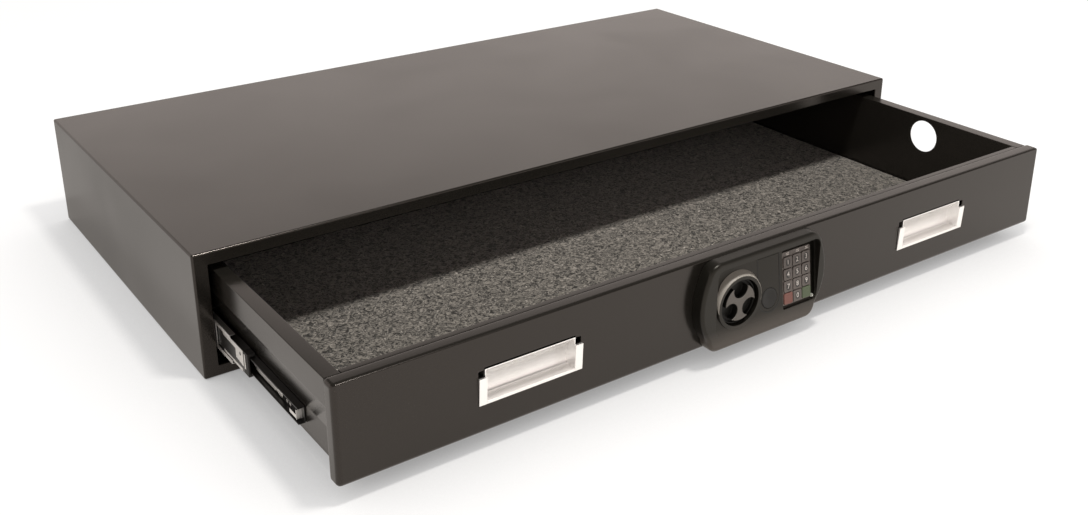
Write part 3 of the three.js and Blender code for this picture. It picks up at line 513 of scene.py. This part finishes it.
FOLDED_EDGES = {"cabinet_shell": 2.4, "drawer_front": 4.6, "lock_cover": 1.8}
CORNER_ANGLE, FLARE_ANGLE = 38, 8


def edge_width(name):
    fitting = [start for start in EDGE_WIDTHS if name.startswith(start)]
    return EDGE_WIDTHS[max(fitting, key=len)]


for name, piece in nodes.items():
    for slot in piece.material_slots:
        slot.material = finishes[slot.material.name.split(".")[0]]
    segments = 3 if name.startswith(("knob", "key_", "cabinet_shell")) else 2
    angle = FLARE_ANGLE if name.startswith("drawer_side") else CORNER_ANGLE
    soften(piece, edge_width(name), segments, FOLDED_EDGES.get(name, 0), angle)
print("softened", len(nodes), "pieces")

# %% [markdown]
# ## New pieces
# A new piece is a mesh built in the frame's own coordinates, so it needs no fitting afterwards. One helper
# links it, names the finish it takes, and makes it ride on its body, so that it moves with that body.

# %% Helper for new pieces
def new_piece(name, body, materials, shape):
    mesh = bpy.data.meshes.new(name)
    shape.normal_update()
    shape.to_mesh(mesh)
    shape.free()
    piece = bpy.data.objects.new(name, mesh)
    bpy.context.scene.collection.objects.link(piece)
    for material in materials:
        mesh.materials.append(finishes[material])
    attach(piece, body)
    return piece


DRAWER_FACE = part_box("drawer_front")[0].y
FELT_LOW, FELT_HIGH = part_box("felt_liner")
print("drawer face at", round(DRAWER_FACE / MM, 1), "mm")

# %% [markdown]
# ### The felt liner
# The liner is one flat piece laid on the drawer's floor. Its top is never quite flat: it swells and dips
# by a fraction of a millimetre, and its cut edge is soft and rounded. A cloth simulation has nothing to do
# on a sheet that lies still, so the swells are written as two noises and the edge as a curve. The sheet is
# closed and thin, on a grid fine enough to carry them, with extra rows near its edge for the rounding.

# %% Felt liner mesh
FELT_GRID = 6 * MM
FELT_SWELL = 0.35 * MM
FELT_ROUND = 1.2 * MM
ROUNDED_STRIP = 2.5 * MM
EDGE_STEPS = [0, 0.15, 0.4]


def felt_height(x, y):
    border = min(x - FELT_LOW.x, FELT_HIGH.x - x, y - FELT_LOW.y, FELT_HIGH.y - y)
    rounding = max(0, 1 - border / ROUNDED_STRIP) ** 2 * FELT_ROUND
    long_swell = noise.noise(Vector((x * 22, y * 22, 3.7)))
    short_swell = noise.noise(Vector((x * 75, y * 75, 9.1)))
    return FELT_HIGH.z - rounding + FELT_SWELL * (long_swell + 0.5 * short_swell)


def grid_steps(low, high, size):
    count = round((high - low) / size)
    steps = EDGE_STEPS + list(range(1, count)) + [count - step for step in reversed(EDGE_STEPS)]
    return [low + (high - low) * step / count for step in steps]


def rim(layer):
    near_and_right = layer[0] + [row[-1] for row in layer[1:]]
    return near_and_right + layer[-1][-2::-1] + [row[0] for row in layer[-2:0:-1]]


print("felt rows near its edge, in grid steps:", EDGE_STEPS)

# %% [markdown]
# The top and the underside are two grids of points. Faces fill each grid, and a last ring of faces joins
# the rims of the two.

# %% Felt liner faces
felt_shape = bmesh.new()
columns = grid_steps(FELT_LOW.x, FELT_HIGH.x, FELT_GRID)
rows = grid_steps(FELT_LOW.y, FELT_HIGH.y, FELT_GRID)
felt_top = [[felt_shape.verts.new((x, y, felt_height(x, y))) for x in columns] for y in rows]
felt_under = [[felt_shape.verts.new((x, y, FELT_LOW.z)) for x in columns] for y in rows]
for r in range(len(rows) - 1):
    for c in range(len(columns) - 1):
        for layer, step in ((felt_top, 1), (felt_under, -1)):
            corners = (layer[r][c], layer[r][c + 1], layer[r + 1][c + 1], layer[r + 1][c])
            felt_shape.faces.new(corners[::step])
rim_top = rim(felt_top)
rim_under = rim(felt_under)
for n, corner in enumerate(rim_top):
    after = (n + 1) % len(rim_top)
    felt_shape.faces.new((rim_under[n], rim_under[after], rim_top[after], corner))
for face in felt_shape.faces:
    face.smooth = True
felt_sheet = new_piece("felt_sheet", "drawer", ["felt_grey"], felt_shape)
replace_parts(felt_sheet, "felt_liner")

# %% [markdown]
# ### Key marks
# Each digit key carries a dark oval with a light number on it, and the red and the green key stay plain.
# An image would give the marks quickly but blur when seen near, so they are thin slabs: prints a twentieth
# of a millimetre thick. The keypad leans back by 7.2 degrees. The marks are drawn upright, in the plane of
# the keypad's own face, and one matrix turns them into place.

# %% Helpers for marks on the sloping face
SLOPE = -7.2
LOCK_FACE = -15.3
SLOPE_FOOT = 36
FACE_PLACE = Matrix.Translation(Vector((0, DRAWER_FACE + LOCK_FACE * MM, SLOPE_FOOT * MM)))
ON_SLOPE = FACE_PLACE @ Matrix.Rotation(math.radians(SLOPE), 4, "X")


def slab_on_slope(shape, outline, front, depth):
    near = [shape.verts.new((x * MM, front * MM, z * MM)) for x, z in outline]
    far = [shape.verts.new((x * MM, (front + depth) * MM, z * MM)) for x, z in outline]
    shape.faces.new(near)
    shape.faces.new(far[::-1])
    for n in range(len(outline)):
        after = (n + 1) % len(outline)
        shape.faces.new((near[after], near[n], far[n], far[after]))


def ellipse(x, z, wide, high, steps=28):
    turns = [2 * math.pi * n / steps for n in range(steps)]
    return [(x + wide / 2 * math.cos(turn), z + high / 2 * math.sin(turn)) for turn in turns]


print("slope helpers ready")

# %% [markdown]
# The numbers come from Blender's own typeface as text curves, made solid and turned upright. A capital is
# about 0.7 of the type size high, so the size follows from the height that a number has on the key.

# %% Digit helper
KEY_FRONT = -0.9
DIGIT_HEIGHT, CAPITAL_SHARE = 5.4, 0.7
INK = 0.05


def add_digit(shape, digit, x, z):
    text = bpy.data.curves.new("digit", "FONT")
    text.body = digit
    text.size = DIGIT_HEIGHT / CAPITAL_SHARE * MM
    text.align_x = "CENTER"
    text.align_y = "CENTER"
    text.extrude = INK * MM
    holder = bpy.data.objects.new("digit", text)
    flat = bpy.data.meshes.new_from_object(holder)
    place = Matrix.Translation(Vector((x, KEY_FRONT - 2 * INK, z)) * MM)
    flat.transform(place @ Matrix.Rotation(math.pi / 2, 4, "X"))
    before = len(shape.faces)
    shape.from_mesh(flat)
    shape.faces.ensure_lookup_table()
    for face in shape.faces[before:]:
        face.material_index = 1
    bpy.data.objects.remove(holder)
    bpy.data.meshes.remove(flat)


print("digits", DIGIT_HEIGHT, "mm high")

# %% [markdown]
# The keys stand in four rows of three, counted here from the bottom row up. The oval reaches a little into
# the key, so that no gap shows behind it, and both marks ride on their key and go in with it.

# %% Key marks
KEY_LEFT, KEY_PITCH_X = 37.9, 13.6
KEY_LOW, KEY_PITCH_Z = 13.3, 13.7
OVAL_WIDE, OVAL_HIGH = 6.6, 8.6
SUNK = 0.1

key_rows = [(None, "0", None), ("7", "8", "9"), ("4", "5", "6"), ("1", "2", "3")]
for row, digits in enumerate(key_rows):
    for column, digit in enumerate(digits):
        if digit is None:
            continue
        x = KEY_LEFT + column * KEY_PITCH_X
        z = KEY_LOW + row * KEY_PITCH_Z
        mark = bmesh.new()
        slab_on_slope(mark, ellipse(x, z, OVAL_WIDE, OVAL_HIGH), KEY_FRONT - INK, INK + SUNK)
        add_digit(mark, digit, x, z)
        mark.transform(ON_SLOPE)
        new_piece(f"key_{digit}_mark", f"key_{digit}", ["oval_ink", "digit_ink"], mark)
print("key marks made")

# %% [markdown]
# Above the top row of keys the plate shows three small light marks. They are drawn as pairs of plain pale
# bars, which give the same light spots.

# %% Marks above the keys
BAR_LEFTS = (36.5, 51.5, 65)
BAR_ROWS = (62.3, 64.0)
BAR_WIDE, BAR_HIGH = 4.5, 0.7
PLATE_FRONT, BAR_DEPTH = 0.5, 0.15

keypad_marks = bmesh.new()
for left in BAR_LEFTS:
    for row in BAR_ROWS:
        right, top = left + BAR_WIDE, row + BAR_HIGH
        bar = [(left, row), (right, row), (right, top), (left, top)]
        slab_on_slope(keypad_marks, bar, PLATE_FRONT, BAR_DEPTH)
keypad_marks.transform(ON_SLOPE)
new_piece("keypad_marks", "drawer", ["digit_ink"], keypad_marks)
print("keypad marks made")

# %% [markdown]
# ### The painted highlight on the knob's collar
# Overhead light falls on the top of the cone round the knob's well and lights it as a pale grey crescent.
# The lock's lip keeps the lamp off it here, so that light is painted: a pale grey crescent lies over the
# cone, runs back until it meets the sloping face, and thins out to nothing at its two ends. A crescent
# drawn by hand would hardly fit the cone. It is turned like a pot instead, from a closed outline that goes
# once round the knob's axis, and then cut off by two planes. Two helpers do the turning and the cutting,
# which closes each cut again.

# %% Collar helpers
KNOB_X, KNOB_Z = -35, 66.5
COLLAR_OUTLINE = (
    (29.7, -15.42), (30.0, -15.42), (30.4, -15.0), (35.3, -4.1), (34.4, -4.1), (29.6, -14.9))
COLLAR_STEPS = 96


def turned_ring(outline):
    shape = bmesh.new()
    rings = []
    for n in range(COLLAR_STEPS):
        turn = 2 * math.pi * n / COLLAR_STEPS
        rings.append([shape.verts.new((
            (KNOB_X + r * math.cos(turn)) * MM, DRAWER_FACE + y * MM, (KNOB_Z + r * math.sin(turn)) * MM))
            for r, y in outline])
    for n, ring in enumerate(rings):
        beside = rings[(n + 1) % COLLAR_STEPS]
        for m in range(len(ring)):
            after = (m + 1) % len(ring)
            shape.faces.new((ring[m], beside[m], beside[after], ring[after]))
    return shape


def cut_away(shape, place, direction):
    cut = bmesh.ops.bisect_plane(
        shape, geom=shape.verts[:] + shape.edges[:] + shape.faces[:], plane_co=place, plane_no=direction,
        clear_outer=True)
    edges = [part for part in cut["geom_cut"] if isinstance(part, bmesh.types.BMEdge)]
    bmesh.ops.holes_fill(shape, edges=edges)


print("collar outline:", len(COLLAR_OUTLINE), "points")

# %% [markdown]
# The first plane leans back a little more than the lock's sloping face. It takes the lower, shaded part of
# the ring away, so the painted highlight stays on the lit upper part, and thins the crescent out towards its
# ends. The second ends it at the side of the key panel.

# %% Knob collar
COLLAR_LOW = 62
COLLAR_LEAN = math.radians(13.5)
PANEL_LEFT = -5.2

collar = turned_ring(COLLAR_OUTLINE)
slope_point = Vector((0, DRAWER_FACE + LOCK_FACE * MM, COLLAR_LOW * MM))
cut_away(collar, slope_point, Vector((0, math.cos(COLLAR_LEAN), -math.sin(COLLAR_LEAN))))
cut_away(collar, Vector((PANEL_LEFT * MM, 0, 0)), Vector((1, 0, 0)))
bmesh.ops.recalc_face_normals(collar, faces=collar.faces)
# A pale crescent over the collar's cone, a painted highlight for the overhead light on its top.
knob_collar_highlight = new_piece("knob_collar_highlight", "drawer", ["collar_painted_highlight"], collar)
print("knob collar:", len(knob_collar_highlight.data.polygons), "faces")

# %% [markdown]
# ### The shade in the seam of the key panel
# The tongue shaped key panel sits in a pocket, and the narrow gap round it lies in shade as a dark seam.
# The gap is narrower than a pixel and would be lost, so its shade is painted as a flat dark band that
# follows the panel's outline: down one side, round the bottom and up the other side.

# %% Panel seam
PANEL_X, PANEL_BOTTOM, PANEL_TOP = 10, 21.5, 68.3
SEAM_NEAR, SEAM_FAR = 15.0, 16.3
SEAM_FRONT, SEAM_DEPTH = -0.12, 0.3
SEAM_STEPS = 24


def tongue_line(half_width, top):
    turns = [math.pi + math.pi * n / SEAM_STEPS for n in range(SEAM_STEPS + 1)]
    arc = [(PANEL_X + half_width * math.cos(t), PANEL_BOTTOM + half_width * math.sin(t)) for t in turns]
    return [(PANEL_X - half_width, top)] + arc + [(PANEL_X + half_width, top)]


seam = bmesh.new()
inner_line = tongue_line(SEAM_NEAR, PANEL_TOP)
outer_line = tongue_line(SEAM_FAR, PANEL_TOP)
for n in range(len(inner_line) - 1):
    strip = (outer_line[n], outer_line[n + 1], inner_line[n + 1], inner_line[n])
    slab_on_slope(seam, strip, SEAM_FRONT, SEAM_DEPTH)
bmesh.ops.remove_doubles(seam, verts=seam.verts, dist=0.001 * MM)
seam.transform(ON_SLOPE)
bmesh.ops.recalc_face_normals(seam, faces=seam.faces)
# The dark band is painted shade for the gap round the key panel, in the black rubber finish.
new_piece("panel_seam_shade", "drawer", ["rubber_black"], seam)
print("panel seam made")

# %% [markdown]
# ### Slide details
# The slide shows beside the open drawer. Its black middle member carries a thin zinc clip behind the rubber
# bumper, its balls run in zinc cages, and a thin zinc lever in the drawer's member frees the drawer. All of
# them are cut from thin sheet. They could be boxes with holes cut by booleans, but an outline that is
# filled with its holes and then given a thickness is cleaner, so one helper does that for all of them. It
# measures heights from the slide's middle line, and a flip turns a piece upside down.

# %% Slide detail helpers
SLIDE_MIDDLE = 49.0
SIDES = (("left", -1), ("right", 1))


def circle(y, z, radius, steps=16):
    turns = [2 * math.pi * n / steps for n in range(steps)]
    return [(y + radius * math.cos(turn), z + radius * math.sin(turn)) for turn in turns]


def rectangle(y0, y1, z0, z1):
    return [(y0, z0), (y1, z0), (y1, z1), (y0, z1)]


def sheet_piece(shape, outline, near, far, holes=(), flip=1):
    edges = []
    for loop in (outline, *holes):
        corners = [shape.verts.new((near * MM, y * MM, (SLIDE_MIDDLE + flip * z) * MM)) for y, z in loop]
        edges += [shape.edges.new((corner, corners[n - 1])) for n, corner in enumerate(corners)]
    filled = bmesh.ops.triangle_fill(shape, use_beauty=True, edges=edges)
    flat = [part for part in filled["geom"] if isinstance(part, bmesh.types.BMFace)]
    grown = bmesh.ops.extrude_face_region(shape, geom=flat)
    moved = [part for part in grown["geom"] if isinstance(part, bmesh.types.BMVert)]
    bmesh.ops.translate(shape, verts=moved, vec=Vector(((far - near) * MM, 0, 0)))


def zinc_piece(name, body, shape):
    bmesh.ops.recalc_face_normals(shape, faces=shape.faces)
    return new_piece(name, body, ["zinc_plate"], shape)


print("slide helpers ready")

# %% [markdown]
# The clip is one sheet: an upper strip that widens into a tongue with a hole, and a lower strip. A short
# bright strip also stands on the bumper.

# %% Slide clips
CLIP_NEAR, CLIP_FAR = 490.1, 490.4
CLIP_OUTLINE = [(-268, 12.2), (-268, 7.4), (-300, 6.8), (-300, -3), (-315, -5), (-319, -5), (-319, 12.2)]
CLIP_HOLE = circle(-312, 6, 2)
LOWER_STRIP = rectangle(-315, -268, -12.2, -9)
BUMPER_STRIP = rectangle(-324, -321.5, -6, 10)

for word, side in SIDES:
    clip = bmesh.new()
    near, far = side * CLIP_NEAR, side * CLIP_FAR
    sheet_piece(clip, CLIP_OUTLINE, near, far, [CLIP_HOLE])
    sheet_piece(clip, LOWER_STRIP, near, far)
    sheet_piece(clip, BUMPER_STRIP, near, far)
    zinc_piece(f"slide_clip_{word}", f"middle_member_{word}", clip)
print("slide clips made")

# %% [markdown]
# The ball cage is a strip of zinc bent to a channel. Between its two rows of balls it is cut away, which
# leaves bridges, and its front end is an open fork. It takes its length and height from the CAD strip that
# it stands for.

# %% Ball cages
CAGE_WALL = 4
CAGE_SHEET = 0.6
CAGE_BRIDGES = (-252, -198, -144, -95)
BRIDGE_WIDTH = 5

for word, side in SIDES:
    low, high = (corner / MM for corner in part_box(f"outer_cage_{word}"))
    half = high.z - SLIDE_MIDDLE
    lip, web = sorted((abs(low.x), abs(high.x)))
    inside = web - CAGE_SHEET
    row = half - CAGE_WALL
    fork = [(low.y, half), (low.y, row), (CAGE_BRIDGES[0], row), (CAGE_BRIDGES[0], -row), (low.y, -row),
            (low.y, -half), (high.y, -half), (high.y, half)]
    windows = [rectangle(start + BRIDGE_WIDTH, end, -row, row)
               for start, end in zip(CAGE_BRIDGES, CAGE_BRIDGES[1:])]
    cage = bmesh.new()
    sheet_piece(cage, fork, side * inside, side * web, windows)
    for edge in (-1, 1):
        wall = rectangle(low.y, high.y, half - CAGE_SHEET, half)
        sheet_piece(cage, wall, side * lip, side * inside, flip=edge)
    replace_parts(zinc_piece(f"ball_cage_{word}", f"outer_cage_{word}", cage), f"outer_cage_{word}")
print("ball cages made")

# %% [markdown]
# The lever that frees the drawer is cut from thin sheet: an eye round its rivet, a slim strip and a finger
# pad. The left one is pushed up and the right one down, so the right one is the left one turned over.

# %% Release levers
LEVER_NEAR, LEVER_FAR = 481.9, 482.6
LEVER_OUTLINE = [
    (-327.5, 3), (-326.5, 0), (-328, -3), (-333, -4.5), (-336, -5.7), (-376, -5.7), (-379, -4.5),
    (-382, -4.5), (-384, -6), (-392, -6), (-393.5, -4), (-393.5, -1.5), (-392, 0), (-384, 0),
    (-382, -1.5), (-337, -1.5), (-334, 1), (-331.5, 3.5)]
LEVER_RIVET = circle(-330, 0, 1.8)
RIVET_RISE = 0.7

for word, side in SIDES:
    lever = bmesh.new()
    sheet_piece(lever, LEVER_OUTLINE, side * LEVER_NEAR, side * LEVER_FAR, flip=-side)
    sheet_piece(lever, LEVER_RIVET, side * LEVER_FAR, side * (LEVER_FAR + RIVET_RISE), flip=-side)
    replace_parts(zinc_piece(f"lever_{word}", f"release_lever_{word}", lever), f"release_lever_{word}")
print("levers made")

# %% [markdown]
# In front of the lever the drawer's member carries two rivets and an end stop, which is its own end bent
# round.

# %% Slide fittings
MEMBER_RIVETS = (circle(-402, -4, 1.9), circle(-409, -4, 1.9))
MEMBER_RIVET_NEAR, MEMBER_RIVET_FAR = 481.5, 482.3
STOP_FACE = rectangle(-432, -417, -6, -2)
STOP_NEAR, STOP_FAR = 486, 486.6
STOP_BEND = rectangle(-433, -432, -6, 4)
BEND_NEAR, BEND_FAR = 481.6, 487

for word, side in SIDES:
    fittings = bmesh.new()
    for rivet in MEMBER_RIVETS:
        sheet_piece(fittings, rivet, side * MEMBER_RIVET_NEAR, side * MEMBER_RIVET_FAR, flip=-side)
    sheet_piece(fittings, STOP_FACE, side * STOP_NEAR, side * STOP_FAR, flip=-side)
    sheet_piece(fittings, STOP_BEND, side * BEND_NEAR, side * BEND_FAR, flip=-side)
    zinc_piece(f"slide_fittings_{word}", "drawer", fittings)
print("slide fittings made")

# %% [markdown]
# ## The room
# The safe stands on a white floor in a white studio. A plain white floor would turn grey in the safe's own
# shade, and turning up the lamps until it is white would bleach the safe. So the floor glows a little, for
# the camera and for mirrored rays only, and gives the safe no light by it. Ambient occlusion dims the glow
# near the safe, which keeps its soft shadow.

# %% Floor
FLOOR_SIZE = 8
FLOOR_DROP = 0.5 * MM

floor_shape = bmesh.new()
bmesh.ops.create_grid(floor_shape, x_segments=1, y_segments=1, size=FLOOR_SIZE)
floor_mesh = bpy.data.meshes.new("floor")
floor_shape.to_mesh(floor_mesh)
floor_shape.free()
floor = bpy.data.objects.new("floor", floor_mesh)
floor.location.z = -FLOOR_DROP
bpy.context.scene.collection.objects.link(floor)
print("floor laid")

# %% [markdown]
# What the safe's dark paint mirrors matters as much as its colour. In the picture the drawer's front
# mirrors a brighter floor than the cabinet's side does, so the mirrored glow falls off from the front of
# the floor to the back. It is a little warm, as the picture is.

# %% Floor finish
FLOOR_GLOW = 0.85
SHADOW_REACH = 0.3
SHADOW_FLOOR = 0.28
MIRRORED_FRONT, MIRRORED_BACK = 1.02, 0.5
MIRROR_FROM, MIRROR_TO = -0.5, 0.35
MIRROR_SHADE = 0.42
MIRROR_TINT = (1.0, 0.94, 0.88)

floor_material, floor_tree, floor_shader = start_material("studio_floor", {
    "Roughness": 1.0, "Specular IOR Level": 0.0})
ray = add_node(floor_tree, "ShaderNodeLightPath").outputs
seen = calculate(floor_tree, "MAXIMUM", ray["Is Camera Ray"], ray["Is Glossy Ray"])
floor_color = mix_colors(floor_tree, seen, (0.5, 0.48, 0.46), (0.3, 0.3, 0.3))
floor_tree.links.new(floor_color, floor_shader.inputs["Base Color"])
glow_color = mix_colors(floor_tree, ray["Is Camera Ray"], MIRROR_TINT, (1, 1, 1))
floor_tree.links.new(glow_color, floor_shader.inputs["Emission Color"])

shadow = add_node(floor_tree, "ShaderNodeAmbientOcclusion", {"Distance": SHADOW_REACH}, samples=8)
open_sky = shadow.outputs["AO"]
camera_glow = rescale(floor_tree, open_sky, 0, 1, SHADOW_FLOOR * FLOOR_GLOW, FLOOR_GLOW)
floor_place = add_node(floor_tree, "ShaderNodeSeparateXYZ", {"Vector": object_place(floor_tree)})
falloff = rescale(
    floor_tree, floor_place.outputs["Y"], MIRROR_FROM, MIRROR_TO, MIRRORED_FRONT, MIRRORED_BACK)
mirror_shade = rescale(floor_tree, open_sky, 0, 1, MIRROR_SHADE, 1)
mirror_glow = calculate(floor_tree, "MULTIPLY", falloff, mirror_shade)
glow = mix_values(floor_tree, ray["Is Glossy Ray"], 0.0, mirror_glow)
glow = mix_values(floor_tree, ray["Is Camera Ray"], glow, camera_glow)
floor_tree.links.new(glow, floor_shader.inputs["Emission Strength"])
floor_mesh.materials.append(floor_material)
print("floor finish ready")

# %% [markdown]
# The world is white to the camera. For the light on the safe it is a pale, slightly warm room below and a
# dim ceiling above, as a ramp over the height that a ray looks to. The bright part is what the top mirrors
# at a low angle, and the dim ceiling keeps the inside of the drawer dark.

# %% World
ROOM_WARMTH = (1.0, 0.9, 0.845)
ROOM_TONES = ((0.0, 1.1), (0.43, 1.1), (0.56, 0.12), (1.0, 0.08))

world = bpy.data.worlds.new("studio")
bpy.context.scene.world = world
world.use_nodes = True
sky = world.node_tree
direction = add_node(sky, "ShaderNodeTexCoord").outputs["Generated"]
ray_height = add_node(sky, "ShaderNodeSeparateXYZ", {"Vector": direction}).outputs["Z"]
room = add_node(sky, "ShaderNodeValToRGB", {"Fac": ray_height})
stops = room.color_ramp.elements
for index, (place, tone) in enumerate(ROOM_TONES):
    stop = stops[index] if index < len(stops) else stops.new(place)
    stop.position = place
    stop.color = (*(tone * part for part in ROOM_WARMTH), 1)
sky_ray = add_node(sky, "ShaderNodeLightPath").outputs
sky_seen = calculate(sky, "MAXIMUM", sky_ray["Is Camera Ray"], sky_ray["Is Transmission Ray"])
sky_color = mix_colors(sky, sky_seen, room.outputs["Color"], (1, 1, 1))
sky.links.new(sky_color, sky.nodes["Background"].inputs["Color"])
print("world ready")

# %% [markdown]
# One small strong lamp stands overhead, a little in front of the cabinet's front edge, and tilts back to
# it. It is what casts the clear shadow of the cabinet across the felt: a larger lamp would blur it.

# %% Lamp
CABINET_FRONT = -0.25
LAMP_HEIGHT = 2.0
LAMP_TILT = math.radians(14)
LAMP_SIZE = 0.28
LAMP_SHARE = 0.78

lamp_data = bpy.data.lights.new("lamp", "AREA")
lamp_data.shape = "DISK"
lamp_data.size = LAMP_SIZE
lamp_data.color = (1.0, 0.97, 0.93)
lamp_data.energy = LAMP_SHARE * math.pi ** 2 * (LAMP_HEIGHT / math.cos(LAMP_TILT)) ** 2
lamp = bpy.data.objects.new("lamp", lamp_data)
lamp.location = (0, CABINET_FRONT - LAMP_HEIGHT * math.tan(LAMP_TILT), LAMP_HEIGHT)
lamp.rotation_euler = (LAMP_TILT, 0, 0)
bpy.context.scene.collection.objects.link(lamp)
bpy.context.scene.view_settings.view_transform = "Standard"
print("lamp:", round(lamp_data.energy, 1), "W")

# %% End
print("scene ready")
